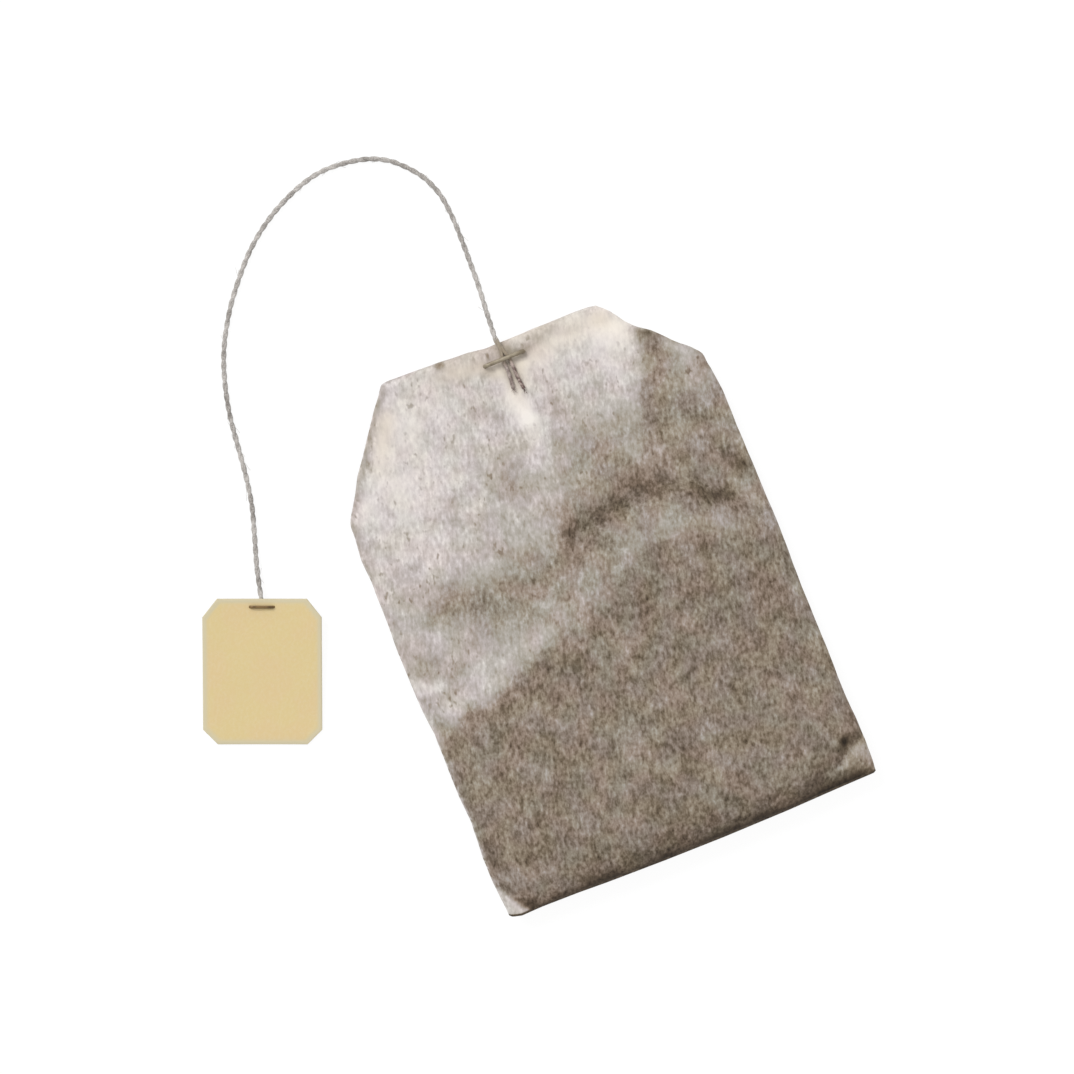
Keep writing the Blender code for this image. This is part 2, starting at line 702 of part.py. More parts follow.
def tag_staple(parts, finish):
    """Staple that clamps the string's end behind the tag."""
    crown_z = TAG_CARD / 2 + STAPLE_CLEARANCE + TAG_STAPLE_WIRE / 2
    clinch_z = -TAG_CARD / 2 - 2 * STAPLE_CLEARANCE - STRING_DIAMETER - TAG_STAPLE_WIRE / 2
    route = staple_route(TAG_STAPLE_CROWN, TAG_STAPLE_WIRE, TAG_STAPLE_BEND, crown_z, clinch_z,
                         TAG_STAPLE_TIP_GAP / 2)
    staple = wire("tag_staple", route, TAG_STAPLE_WIRE, parts, finish)
    offset = Matrix.Translation((0.0, TAG_LENGTH / 2 - TAG_STAPLE_BELOW_TOP, 0.0))
    staple.matrix_world = tag_place() @ offset
    return staple


def bag_staple(parts, finish):
    """Staple through the folded top of the bag, over the string's plies."""
    crown_z = FRONT_FACE_Z + 2 * STAPLE_CLEARANCE + PLY_DIAMETER + STAPLE_WIRE / 2
    clinch_z = STAPLE_FLOOR_GAP + STAPLE_WIRE / 2
    route = staple_route(STAPLE_CROWN, STAPLE_WIRE, STAPLE_BEND, crown_z, clinch_z,
                         STAPLE_TIP_GAP / 2)
    staple = wire("bag_staple", route, STAPLE_WIRE, parts, finish)
    staple.location = (STAPLE_X, TOP_Y - STAPLE_BELOW_TOP, 0.0)
    return staple


def build():
    """Builds every piece of the tea bag."""
    for obj in list(bpy.data.objects):
        bpy.data.objects.remove(obj)
    parts = new_collection("tea_bag")
    helpers = new_collection("helpers")
    paper = material("filter paper", (0.69, 0.63, 0.60), 0.85)
    leaf = material("tea leaf", (0.16, 0.11, 0.07), 0.9)
    cotton = material("cotton", (0.55, 0.50, 0.42), 0.9)
    metal = material("staple wire", (0.42, 0.36, 0.28), 0.35, 0.9)
    card = material("card", (0.73, 0.58, 0.31), 0.8)
    filter_paper(parts, helpers, paper)
    tea_charge("tea_front", tea_places(FRONT_TEA_TOP), front_tea_left, tea_right, front_z,
               front_rise, flat_rise, parts, leaf)
    tea_charge("tea_back", tea_places(BACK_TEA_TOP), tea_left, tea_right, lambda y: BACK_Z,
               flat_rise, back_rise, parts, leaf)
    bag_staple(parts, metal)
    string(parts, helpers, cotton)
    tag(parts, helpers, card)
    tag_staple(parts, metal)


build()
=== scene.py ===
"""Looks of a double-chamber tea bag with its string and card tag, laid flat on a table.

Units are metres. X runs across the bag, Y runs from its folded bottom edge towards the string and Z
is up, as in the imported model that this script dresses.
"""

import logging
import math
import random
from dataclasses import dataclass
from enum import Enum
from functools import reduce
from typing import Callable, NamedTuple

import bmesh
import bpy
from mathutils import Matrix, Vector, noise


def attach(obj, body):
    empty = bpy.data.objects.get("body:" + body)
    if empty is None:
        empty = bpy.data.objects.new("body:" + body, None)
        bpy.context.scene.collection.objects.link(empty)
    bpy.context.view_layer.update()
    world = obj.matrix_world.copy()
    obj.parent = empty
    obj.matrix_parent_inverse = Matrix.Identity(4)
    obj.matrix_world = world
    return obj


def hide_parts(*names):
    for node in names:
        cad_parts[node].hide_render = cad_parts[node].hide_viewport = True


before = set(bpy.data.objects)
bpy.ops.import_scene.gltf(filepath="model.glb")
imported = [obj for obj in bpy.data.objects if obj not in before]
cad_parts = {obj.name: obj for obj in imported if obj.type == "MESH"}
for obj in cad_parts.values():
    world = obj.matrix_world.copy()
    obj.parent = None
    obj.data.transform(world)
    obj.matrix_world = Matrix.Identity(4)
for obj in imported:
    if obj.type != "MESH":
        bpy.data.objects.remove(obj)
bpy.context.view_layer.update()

logging.basicConfig(level=logging.INFO, format="%(message)s")
log = logging.getLogger("tea_bag")

MM = 0.001
WELD = 1e-7
CURVE_STEPS = 24
Point = tuple[float, float, float]
Colour = tuple[float, float, float]
Pair = tuple[float, float]
Line = tuple[Pair, ...]
Material = bpy.types.Material
Piece = bpy.types.Object
Socket = bpy.types.NodeSocket


def srgb(red: int, green: int, blue: int) -> Colour:
    """Linear colour of a 0 to 255 screen colour."""
    shares = (red / 255, green / 255, blue / 255)
    return tuple(c / 12.92 if c <= 0.04045 else ((c + 0.055) / 1.055) ** 2.4 for c in shares)


def clamp(value: float, low: float = 0.0, high: float = 1.0) -> float:
    """A value kept between two bounds."""
    return min(max(value, low), high)


def smooth_step(value: float, low: float, high: float) -> float:
    """Rises softly from 0 at low to 1 at high."""
    share = clamp((value - low) / (high - low))
    return share * share * (3 - 2 * share)


def fade(value: float, low: float, high: float) -> float:
    """Falls softly from 1 at low to 0 at high."""
    return 1 - smooth_step(value, low, high)


def ripple(x: float, y: float, size: float, seed: float) -> float:
    """Smooth noise from -1 to 1 with features of a size, at a place in plan."""
    return noise.noise(Vector((x / size, y / size, seed)))


def ripples(x: float, y: float, *waves: Point) -> float:
    """Ripples added up, each given by its size, its seed and its height."""
    return sum(ripple(x, y, size, seed) * height for size, seed, height in waves)


def height_on(line: Line, x: float) -> float:
    """Y of a line of (x, y) points at an x.

    Args:
        line: The points, from left to right.
        x: Where to read the line.

    Returns:
        The y there, level past its ends.
    """
    for (x0, y0), (x1, y1) in zip(line, line[1:]):
        if x <= x1:
            return y0 + (y1 - y0) * max(x - x0, 0.0) / (x1 - x0)
    return line[-1][1]


def smooth_route(route: tuple[Point, ...], step: float) -> list[Vector]:
    """Points a step apart on a smooth curve through a route.

    Args:
        route: Points that the curve passes through, in millimetres.
        step: Distance between the points that come back, in metres.

    Returns:
        Evenly spaced points, from the route's first point to its last.
    """
    points = [Vector([c * MM for c in point]) for point in route]
    padded = [2 * points[0] - points[1]] + points + [2 * points[-1] - points[-2]]
    dense = []
    for before, start, end, after in zip(padded, padded[1:], padded[2:], padded[3:]):
        for t in (k / CURVE_STEPS for k in range(CURVE_STEPS)):
            dense.append(0.5 * (2 * start + (end - before) * t
                                + (2 * before - 5 * start + 4 * end - after) * t * t
                                + (3 * start - before - 3 * end + after) * t ** 3))
    dense.append(points[-1])
    return evenly_spaced(dense, step)


def evenly_spaced(dense: list[Vector], step: float) -> list[Vector]:
    """Points a step apart on a chain of close points.

    Args:
        dense: The close points.
        step: Distance between the points that come back.

    Returns:
        Evenly spaced points, with both ends.
    """
    lengths = [0.0]
    for a, b in zip(dense, dense[1:]):
        lengths.append(lengths[-1] + (b - a).length)
    count = max(round(lengths[-1] / step), 2)
    spaced = []
    index = 0
    for k in range(count + 1):
        want = lengths[-1] * k / count
        while index < len(dense) - 2 and lengths[index + 1] < want:
            index += 1
        span = max(lengths[index + 1] - lengths[index], 1e-12)
        spaced.append(dense[index].lerp(dense[index + 1], min((want - lengths[index]) / span, 1.0)))
    return spaced


def mesh_piece(name: str, bm: bmesh.types.BMesh, finish: Material,
               sharp_angle: float = 45.0) -> Piece:
    """Turns a bmesh into a smooth shaded object at the origin.

    Args:
        name: The piece's name.
        bm: Its shape, in place; it is freed.
        finish: Its material.
        sharp_angle: Edges sharper than this stay sharp, in degrees.

    Returns:
        The new object, in the scene.
    """
    mesh = bpy.data.meshes.new(name)
    bm.to_mesh(mesh)
    bm.free()
    mesh.shade_smooth()
    mesh.set_sharp_from_angle(angle=math.radians(sharp_angle))
    mesh.materials.append(finish)
    piece = bpy.data.objects.new(name, mesh)
    bpy.context.scene.collection.objects.link(piece)
    return piece


def raised(bm: bmesh.types.BMesh, faces: list[bmesh.types.BMFace],
           height: float) -> list[bmesh.types.BMVert]:
    """Extrudes faces upwards and keeps them below, and gives back the vertices on top.

    Args:
        bm: The shape that the faces belong to.
        faces: The faces.
        height: How far they rise.

    Returns:
        The vertices of the raised faces.
    """
    grown = bmesh.ops.extrude_face_region(bm, geom=faces, use_keep_orig=True)["geom"]
    top = [vertex for vertex in grown if isinstance(vertex, bmesh.types.BMVert)]
    bmesh.ops.translate(bm, verts=top, vec=(0.0, 0.0, height))
    return top


def tube_mesh(paths: list[list[Vector]], radii: list[float], resolution: int) -> bmesh.types.BMesh:
    """Round tubes along paths, as one bmesh with closed ends.

    Args:
        paths: The centre line of each tube.
        radii: The radius of each tube.
        resolution: Blender's bevel resolution.

    Returns:
        The tubes, welded, with their faces outwards.
    """
    bm = bmesh.new()
    for path, radius in zip(paths, radii):
        curve = bpy.data.curves.new("tube", "CURVE")
        curve.dimensions = "3D"
        curve.bevel_depth = radius
        curve.bevel_resolution = resolution
        curve.use_fill_caps = True
        spline = curve.splines.new("POLY")
        spline.points.add(len(path) - 1)
        for point, place in zip(spline.points, path):
            point.co = (*place, 1.0)
        holder = bpy.data.objects.new("tube", curve)
        bpy.context.scene.collection.objects.link(holder)
        shape = holder.evaluated_get(bpy.context.evaluated_depsgraph_get())
        mesh = bpy.data.meshes.new_from_object(shape)
        bm.from_mesh(mesh)
        bpy.data.objects.remove(holder)
        bpy.data.curves.remove(curve)
        bpy.data.meshes.remove(mesh)
    bmesh.ops.remove_doubles(bm, verts=bm.verts, dist=WELD)
    bmesh.ops.recalc_face_normals(bm, faces=bm.faces)
    return bm


class NodeSheet:
    """A material whose nodes are laid out by short calls."""

    def __init__(self, name: str, roughness: float) -> None:
        """Starts a Principled material of one roughness.

        Args:
            name: The material's name.
            roughness: Its roughness.
        """
        self.material = bpy.data.materials.new(name)
        self.material.use_nodes = True
        self.tree = self.material.node_tree
        self.shader = self.tree.nodes["Principled BSDF"]
        self.shader.inputs["Roughness"].default_value = roughness
        self.place = self.add("ShaderNodeTexCoord").outputs["Object"]

    def add(self, kind: str, inputs: dict | None = None, **settings: object) -> bpy.types.Node:
        """A new node with its properties set and its inputs fed.

        Args:
            kind: Blender's name of the node type.
            inputs: Values or outputs for its sockets, by name or number.
            settings: Its properties.

        Returns:
            The node.
        """
        node = self.tree.nodes.new(kind)
        for key, value in settings.items():
            setattr(node, key, value)
        for key, value in (inputs or {}).items():
            self.feed(node.inputs[key], value)
        return node

    def feed(self, socket: Socket, value: object) -> None:
        """Links an output to a socket, or sets the socket's own value.

        Args:
            socket: The socket to feed.
            value: Another node's output, a number, a vector or a colour.
        """
        if isinstance(value, Socket):
            self.tree.links.new(value, socket)
        elif isinstance(value, tuple) and len(value) == 3 and socket.type == "RGBA":
            socket.default_value = (*value, 1.0)
        else:
            socket.default_value = value

    def constant(self, **values: object) -> None:
        """Sets the shader's own sockets, named with underscores for spaces."""
        for key, value in values.items():
            self.feed(self.shader.inputs[key.replace("_", " ")], value)

    def stretched(self, scale: Point, turn: float = 0.0) -> Socket:
        """Object coordinates turned about Z, then scaled, so that a pattern lengthens along an axis.

        Args:
            scale: Scale along each axis.
            turn: The turn, in radians.

        Returns:
            The coordinates.
        """
        vector = self.place
        for setting, value in (("Rotation", (0.0, 0.0, turn)), ("Scale", scale)):
            vector = self.add("ShaderNodeMapping", {"Vector": vector, setting: value}).outputs[0]
        return vector

    def noise(self, vector: Socket, size: float, detail: float = 3.0, roughness: float = 0.55) -> Socket:
        """Noise with features of a size in metres."""
        return self.add("ShaderNodeTexNoise", {"Vector": vector, "Scale": 1 / size, "Detail": detail,
                                               "Roughness": roughness}).outputs[0]

    def patches(self, size: float, detail: float = 2.0) -> Socket:
        """Even noise over the whole piece, with features of a size in metres."""
        return self.noise(self.place, size, detail)

    def math(self, operation: str, a: object, b: object) -> Socket:
        """Arithmetic on two values."""
        return self.add("ShaderNodeMath", {0: a, 1: b}, operation=operation).outputs[0]

    def product(self, *values: object) -> Socket:
        """Values multiplied together."""
        return reduce(lambda a, b: self.math("MULTIPLY", a, b), values)

    def total(self, *values: object) -> Socket:
        """Values added up."""
        return reduce(lambda a, b: self.math("ADD", a, b), values)

    def span(self, value: object, low: float, high: float, to_low: float = 0.0,
             to_high: float = 1.0) -> Socket:
        """Maps a span of values softly to another span."""
        inputs = dict(enumerate((value, low, high, to_low, to_high)))
        return self.add("ShaderNodeMapRange", inputs, interpolation_type="SMOOTHSTEP").outputs[0]

    def mix(self, factor: object, a: object, b: object, blend: str = "MIX") -> Socket:
        """Colour a turning to colour b as the factor goes from 0 to 1."""
        inputs = {"Factor": factor, 6: a, 7: b}
        return self.add("ShaderNodeMix", inputs, data_type="RGBA", blend_type=blend).outputs[2]

    def ramp(self, factor: Socket, stops: tuple[tuple[float, Colour], ...]) -> Socket:
        """Colours along a value from 0 to 1.

        Args:
            factor: The value.
            stops: Places along it with their colours.

        Returns:
            The colour.
        """
        node = self.add("ShaderNodeValToRGB", {0: factor})
        elements = node.color_ramp.elements
        while len(elements) < len(stops):
            elements.new(1.0)
        for element, (position, colour) in zip(elements, stops):
            element.position = position
            element.color = (*colour, 1.0)
        return node.outputs[0]

    def attribute(self, name: str) -> Socket:
        """The value of a mesh attribute."""
        return self.add("ShaderNodeAttribute", attribute_name=name).outputs["Fac"]

    def bump(self, height: Socket, depth: float, strength: float) -> None:
        """Gives the shader a bump of a depth in metres."""
        node = self.add("ShaderNodeBump", {"Strength": strength, "Distance": depth, "Height": height})
        self.feed(self.shader.inputs["Normal"], node.outputs[0])

    def finished(self, colour: object) -> Material:
        """Sets the base colour and gives back the material."""
        self.feed(self.shader.inputs["Base Color"], colour)
        return self.material


@dataclass(frozen=True)
class FilterPaperFinish:
    """Thin fibrous filter paper, with the leaf behind it showing through.

    The mesh says how bright the paper looks at each place, leaf and painted shade and highlights alike,
    and the finish gives that brightness its colour, its streaks of fibre and its specks of leaf.
    """

    shades: tuple[tuple[float, Colour], ...] = (
        (0.16, srgb(40, 32, 23)),
        (0.28, srgb(74, 62, 49)),
        (0.40, srgb(107, 94, 79)),
        (0.50, srgb(135, 122, 108)),
        (0.58, srgb(152, 141, 128)),
        (0.66, srgb(167, 159, 150)),
        (0.74, srgb(187, 179, 174)),
        (0.82, srgb(210, 203, 199)),
        (0.92, srgb(238, 232, 226)),
    )
    streak: Pair = (0.26, 0.312)
    grain: Pair = (0.224, 0.512)
    mottle: Pair = (0.12, 0.20)
    fibre_turn: float = math.radians(14.9)
    fibre_width: float = 0.44 * MM
    patch_size: float = 1.7 * MM
    speck_size: float = 0.62 * MM
    speck_depth: float = 0.20
    clump_size: float = 3.4 * MM
    bump_depth: float = 0.05 * MM
    casts: tuple[tuple[float, float, Colour, Colour], ...] = (
        (3.3 * MM, 0.24, (0.966, 1.009, 1.056), (1.048, 0.985, 0.928)),
        (2.9 * MM, 0.36, (0.980, 1.020, 0.950), (1.034, 0.975, 1.034)),
    )
    leafy_cast: float = 0.53
    cream: Colour = (1.04, 1.0, 0.905)

    def material(self) -> Material:
        """Builds the paper material from the mesh's tone attribute.

        The streaks, the grain, the mottling and the casts have one strength on bare paper and
        another where leaf lies behind it. All of them fade where the paper is pale, creamy or dark.

        Returns:
            The finished material.
        """
        sheet = NodeSheet("filter paper", 0.85)
        tone = sheet.attribute("tone")
        cream = sheet.attribute("cream")
        streaks = sheet.stretched((1.0, 0.62, 1.0), self.fibre_turn)
        fine = sheet.noise(streaks, self.fibre_width, 2.0, 0.6)
        fibres = sheet.noise(sheet.stretched((1.0, 0.34, 1.0), self.fibre_turn),
                             self.fibre_width * 1.05, 2.0)
        patches = sheet.noise(sheet.place, self.patch_size, 2.0, 0.5)
        leafy = sheet.span(tone, 0.74, 0.52)
        calm = sheet.span(cream, 0.0, 1.0, 1.0, 0.45)
        busy = sheet.product(sheet.span(tone, 0.90, 0.76, 0.30), calm, sheet.span(tone, 0.22, 0.42, 0.40))
        layers = ((fibres, self.streak), (fine, self.grain), (patches, self.mottle))
        changes = [sheet.product(sheet.total(pattern, -0.5), sheet.span(leafy, 0.0, 1.0, *strengths))
                   for pattern, strengths in layers]
        spots = sheet.product(
            sheet.span(sheet.noise(streaks, self.speck_size, 1.0, 0.5), 0.60, 0.76),
            sheet.span(sheet.patches(self.clump_size, 1.0), 0.42, 0.66, 0.25),
            calm, busy, sheet.span(leafy, 0.0, 1.0, 1.0, 0.5), -self.speck_depth)
        value = sheet.total(tone, sheet.product(sheet.total(*changes), busy), spots)
        colour = sheet.ramp(value, self.shades)
        for size, bare_share, cool, warm in self.casts:
            cast = sheet.product(busy, sheet.span(leafy, 0.0, 1.0, bare_share, self.leafy_cast))
            blush = sheet.span(sheet.patches(size, 0.0), 0.34, 0.66)
            colour = sheet.mix(cast, colour, sheet.mix(blush, cool, warm), "MULTIPLY")
        colour = sheet.mix(cream, colour, self.cream, "MULTIPLY")
        sheet.bump(sheet.total(fine, fibres), self.bump_depth, 0.35)
        sheet.constant(Specular_IOR_Level=0.25, Sheen_Weight=0.05)
        return sheet.finished(colour)


@dataclass(frozen=True)
class LeafFinish:
    """Dry crumbled leaf."""

    dark: Colour = srgb(48, 34, 24)
    brown: Colour = srgb(88, 64, 42)
    golden: Colour = srgb(140, 108, 66)
    crumb_size: float = 0.9 * MM
    bump_depth: float = 0.4 * MM

    def material(self) -> Material:
        """Builds the leaf material.

        Returns:
            The finished material.
        """
        sheet = NodeSheet("tea leaf", 0.78)
        crumbs = sheet.add("ShaderNodeTexVoronoi", {"Vector": sheet.stretched((1.0, 0.55, 1.0)),
                                                    "Scale": 1 / self.crumb_size})
        share = sheet.add("ShaderNodeSeparateColor", {0: crumbs.outputs["Color"]}).outputs[0]
        colour = sheet.ramp(share, ((0.0, self.dark), (0.7, self.brown), (1.0, self.golden)))
        sheet.bump(crumbs.outputs["Distance"], self.bump_depth, 0.8)
        return sheet.finished(colour)


@dataclass(frozen=True)
class ThreadFinish:
    """Unbleached two-ply cotton thread."""

    low: Colour = srgb(124, 118, 112)
    high: Colour = srgb(208, 203, 198)
    # Painted shade by the bag's staple: a browner tint and deeper blotches on the parted plies, a
    # grey-brown under the crown.
    shade_tint: Colour = srgb(186, 164, 154)
    staple_shade: Colour = srgb(92, 72, 66)
    crown_shade: Colour = srgb(160, 146, 124)
    fibre_size: float = 0.16 * MM
    patch_size: float = 1.7 * MM
    mark_size: float = 0.72 * MM
    bump_depth: float = 0.05 * MM

    def material(self) -> Material:
        """Builds the thread material, with painted shade from mesh attributes on the parted plies and
        under the staple's crown.

        Returns:
            The finished material.
        """
        sheet = NodeSheet("cotton thread", 0.9)
        fibres = sheet.noise(sheet.place, self.fibre_size, 4.0, 0.7)
        patches = sheet.patches(self.patch_size)
        mixed = sheet.total(sheet.product(fibres, 0.6), sheet.product(patches, 0.4))
        colour = sheet.mix(sheet.span(mixed, 0.32, 0.66), self.low, self.high)
        # Painted shade by the bag's staple, carried by two mesh attributes.
        staple_shade = sheet.attribute("staple_shade")
        colour = sheet.mix(sheet.product(staple_shade, 0.75), colour, self.shade_tint)
        marks = sheet.span(sheet.patches(self.mark_size), 0.40, 0.60)
        colour = sheet.mix(sheet.product(staple_shade, marks), colour, self.staple_shade)
        colour = sheet.mix(sheet.attribute("crown_shade"), colour, self.crown_shade)
        sheet.bump(fibres, self.bump_depth, 0.8)
        sheet.constant(Sheen_Weight=0.15)
        return sheet.finished(colour)


@dataclass(frozen=True)
class WireFinish:
    """Dull drawn staple wire with a warm tarnish."""

    name: str
    bright: Colour
    tarnish: Colour
    metallic: float
    draw_size: float = 0.10 * MM
    patch_size: float = 0.9 * MM
    bump_depth: float = 0.01 * MM

    def material(self) -> Material:
        """Builds the wire material.

        Returns:
            The finished material.
        """
        sheet = NodeSheet(self.name, 0.42)
        drawn = sheet.noise(sheet.stretched((0.12, 1.0, 1.0)), self.draw_size, 3.0, 0.6)
        patches = sheet.span(sheet.patches(self.patch_size, 3.0), 0.35, 0.65)
        colour = sheet.mix(patches, self.tarnish, self.bright)
        sheet.bump(drawn, self.bump_depth, 0.5)
        sheet.constant(Metallic=self.metallic)
        return sheet.finished(colour)


@dataclass(frozen=True)
class CardFinish:
    """Buff card with a paler rim."""

    face: Colour = srgb(218, 197, 144)
    warm: Colour = srgb(219, 195, 146)
    rim: Colour = srgb(209, 198, 166)
    core: Colour = srgb(226, 216, 190)
    fibre_size: float = 0.35 * MM
    patch_size: float = 4.0 * MM
    bump_depth: float = 0.02 * MM

    def material(self) -> Material:
        """Builds the card material from its rim attribute.

        Returns:
            The finished material.
        """
        sheet = NodeSheet("tag card", 0.78)
        fibres = sheet.noise(sheet.stretched((1.0, 0.7, 1.0), 0.6), self.fibre_size, 4.0, 0.65)
        patches = sheet.span(sheet.patches(self.patch_size), 0.40, 0.62)
        face = sheet.mix(patches, self.face, self.warm)
        face = sheet.mix(sheet.span(fibres, 0.35, 0.80, 0.0, 0.22), face, self.core)
        colour = sheet.mix(sheet.attribute("rim"), face, self.rim)
        sheet.bump(fibres, self.bump_depth, 0.4)
        sheet.constant(Specular_IOR_Level=0.3)
        return sheet.finished(colour)


class Side(Enum):
    """Which swelling a section of the paper tube has."""

    FRONT = "front"
    BACK = "back"
    FLAT = "flat"


class Station(NamedTuple):
    """One section of the folded paper tube."""

    y: float
    z: float
    turn: float
    width_y: float
    side: Side


@dataclass(frozen=True)
class BagForm:
    """Sizes of the folded bag, and the heights that follow from them."""

    paper: float = 0.12 * MM
    ply_gap: float = 0.12 * MM
    width: float = 51.2 * MM
    length: float = 70.0 * MM
    pleat_height: float = 9.0 * MM
    pleat_ease: Pair = (1.0 * MM, 16.0 * MM)
    top_flap: float = 7.8 * MM
    left_shoulder: Pair = (10.5 * MM, 15.2 * MM)
    right_shoulder: Pair = (11.8 * MM, 12.8 * MM)
    shoulder_rounding: float = 1.2 * MM
    corner_fold: float = 0.30 * MM
    corner_gap: float = 1.6 * MM
    corner_inset: float = 0.05 * MM
    front_swell: float = 2.9 * MM
    back_swell: float = 2.8 * MM
    bottom_rounding: float = 8.5 * MM
    front_reach: Pair = (4.0 * MM, 27.5 * MM)
    back_reach: Pair = (2.0 * MM, 18.5 * MM)
    slack_share: float = 0.50
    settled_blend: float = 6.0 * MM
    arch_depth: float = 0.7 * MM
    arch_width: float = 1.9 * MM
    arch_start: float = -2.0 * MM
    pocket_height: float = 0.7 * MM
    pocket_radius: float = 6.5 * MM
    pocket_centre: Pair = (19.5 * MM, 18.0 * MM)
    relief_edge: float = 4.0 * MM
    crease_radius: float = 0.35 * MM
    staple_wire: float = 0.55 * MM
    staple_clearance: float = 0.05 * MM
    floor_gap: float = 0.15 * MM
    settled_line: Line = (
        (-25.6 * MM, -9.0 * MM), (-14.5 * MM, -7.7 * MM), (-7.6 * MM, -2.8 * MM), (-1.3 * MM, 3.0 * MM),
        (3.0 * MM, 9.5 * MM), (11.3 * MM, 11.7 * MM), (17.1 * MM, 9.2 * MM), (25.6 * MM, 4.0 * MM))

    @property
    def flat(self) -> float:
        """Thickness of the flattened tube."""
        return 2 * self.paper + self.ply_gap

    @property
    def pitch(self) -> float:
        """Step from one flattened tube to the next."""
        return self.flat + self.ply_gap

    @property
    def outer_flap_z(self) -> float:
        """Height of the outer flap's middle."""
        return self.floor_gap + self.staple_wire + self.staple_clearance + self.flat / 2

    @property
    def corner_z(self) -> float:
        """Height of the folded corners' middle."""
        return self.outer_flap_z + self.pitch + self.flat / 2 + self.ply_gap + self.corner_fold / 2

    @property
    def back_z(self) -> float:
        """Height of the back chamber's side creases."""
        return self.corner_z + self.corner_fold / 2 + self.ply_gap + self.flat / 2

    @property
    def top_y(self) -> float:
        """Y of the top edge."""
        return self.length / 2

    @property
    def bottom_fold_y(self) -> float:
        """Y of the bottom folds' centres."""
        return -self.length / 2 + self.pitch / 2 + self.flat / 2

    @property
    def outer_fold_radius(self) -> float:
        """Radius of the outer tube's turn over the top edge."""
        return (self.back_z + self.pitch - self.outer_flap_z) / 2

    @property
    def top_fold_y(self) -> float:
        """Y of the top folds' centre."""
        return self.top_y - self.outer_fold_radius - self.flat / 2

    def front_z(self, y: float) -> float:
        """Height of the front chamber's side creases: it steps down past the pleat.

        Args:
            y: Distance up the bag.

        Returns:
            The height.
        """
        pleat_y = self.bottom_fold_y + self.pleat_height
        drop = smooth_step(y, pleat_y + self.pleat_ease[0], pleat_y + self.pleat_ease[1])
        return self.back_z + self.pitch * (3 - 2 * drop)

    def half_width(self, y: float, direction: float) -> float:
        """Distance from the middle to the left (-1) or right (1) crease.

        Args:
            y: Distance up the bag.
            direction: Which crease.

        Returns:
            The distance.
        """
        run, rise = self.left_shoulder if direction < 0 else self.right_shoulder
        past = (y - (self.top_y - rise)) * run / rise
        return self.width / 2 - (past + math.hypot(past, self.shoulder_rounding)) / 2

    def settled_height(self, x: float) -> float:
        """Y of the line below which the leaf has settled."""
        return height_on(self.settled_line, x)

    def swell(self, x: float, y: float, reach: Pair) -> float:
        """Share of a chamber's swelling: none at its creases and its flattened top.

        Args:
            x: Distance across the bag, in metres.
            y: Distance up the bag, in metres.
            reach: Where the swelling starts to fade and where it ends.

        Returns:
            The share, from 0 to 1.
        """
        half = self.half_width(y, math.copysign(1, x))
        across = max(1 - abs(x / half) ** 4, 0.0) ** 0.75
        up = clamp((y + self.length / 2) / self.bottom_rounding)
        bottom = (1 - (1 - up) ** 2.4) ** 0.8
        return across * bottom * fade(y, *reach)

    def from_edge(self, x: float, y: float) -> float:
        """0 at a side crease, rising to 1 a little way in."""
        return smooth_step(self.half_width(y, math.copysign(1, x)) - abs(x), 0.0, self.relief_edge)

    def front_rise(self, x: float, y: float) -> float:
        """How far the front face stands above its side creases.

        Args:
            x: Distance across the bag, in metres.
            y: Distance up the bag, in metres.

        Returns:
            The height, in metres.
        """
        line = self.settled_height(x)
        settled = fade(y, line - self.settled_blend, line + self.settled_blend)
        rise = self.front_swell * self.swell(x, y, self.front_reach)
        rise *= self.slack_share + (1 - self.slack_share) * settled
        edge = self.from_edge(x, y)
        pocket_x, pocket_y = self.pocket_centre
        away = ((x - pocket_x) ** 2 + (y - pocket_y) ** 2) / self.pocket_radius ** 2
        rise += self.pocket_height * math.exp(-away) * edge
        arch = math.exp(-(((y - line) / self.arch_width) ** 2))
        arch *= smooth_step(x, self.arch_start, self.arch_start + self.relief_edge)
        rise -= min(self.arch_depth * arch * edge, rise * 0.6)
        return self.flat / 2 + rise

    def back_rise(self, x: float, y: float) -> float:
        """How far the back face stands below its side creases, flat where it rests."""
        return min(self.flat / 2 + self.back_swell * self.swell(x, y, self.back_reach), self.back_z)


class Stroke(NamedTuple):
    """A soft line drawn on the bag: its places, each with the change it makes there, and its reach."""

    places: tuple[Point, ...]
    reach: float

    def at(self, x: float, y: float) -> float:
        """The change at a place.

        Args:
            x: Distance across the bag, in millimetres.
            y: Distance up the bag, in millimetres.

        Returns:
            The change.
        """
        nearest, change = math.inf, 0.0
        for (ax, ay, a_change), (bx, by, b_change) in zip(self.places, self.places[1:]):
            span_x, span_y = bx - ax, by - ay
            along = ((x - ax) * span_x + (y - ay) * span_y) / (span_x ** 2 + span_y ** 2)
            along = clamp(along)
            away = math.hypot(x - ax - along * span_x, y - ay - along * span_y)
            if away < nearest:
                nearest, change = away, a_change + (b_change - a_change) * along
        return change * math.exp(-((nearest / self.reach) ** 2))


def strokes(*rows: tuple[float | Point, ...]) -> tuple[Stroke, ...]:
    """Strokes from rows that hold a reach and then the places with their changes."""
    return tuple(Stroke(tuple(places), reach) for reach, *places in rows)


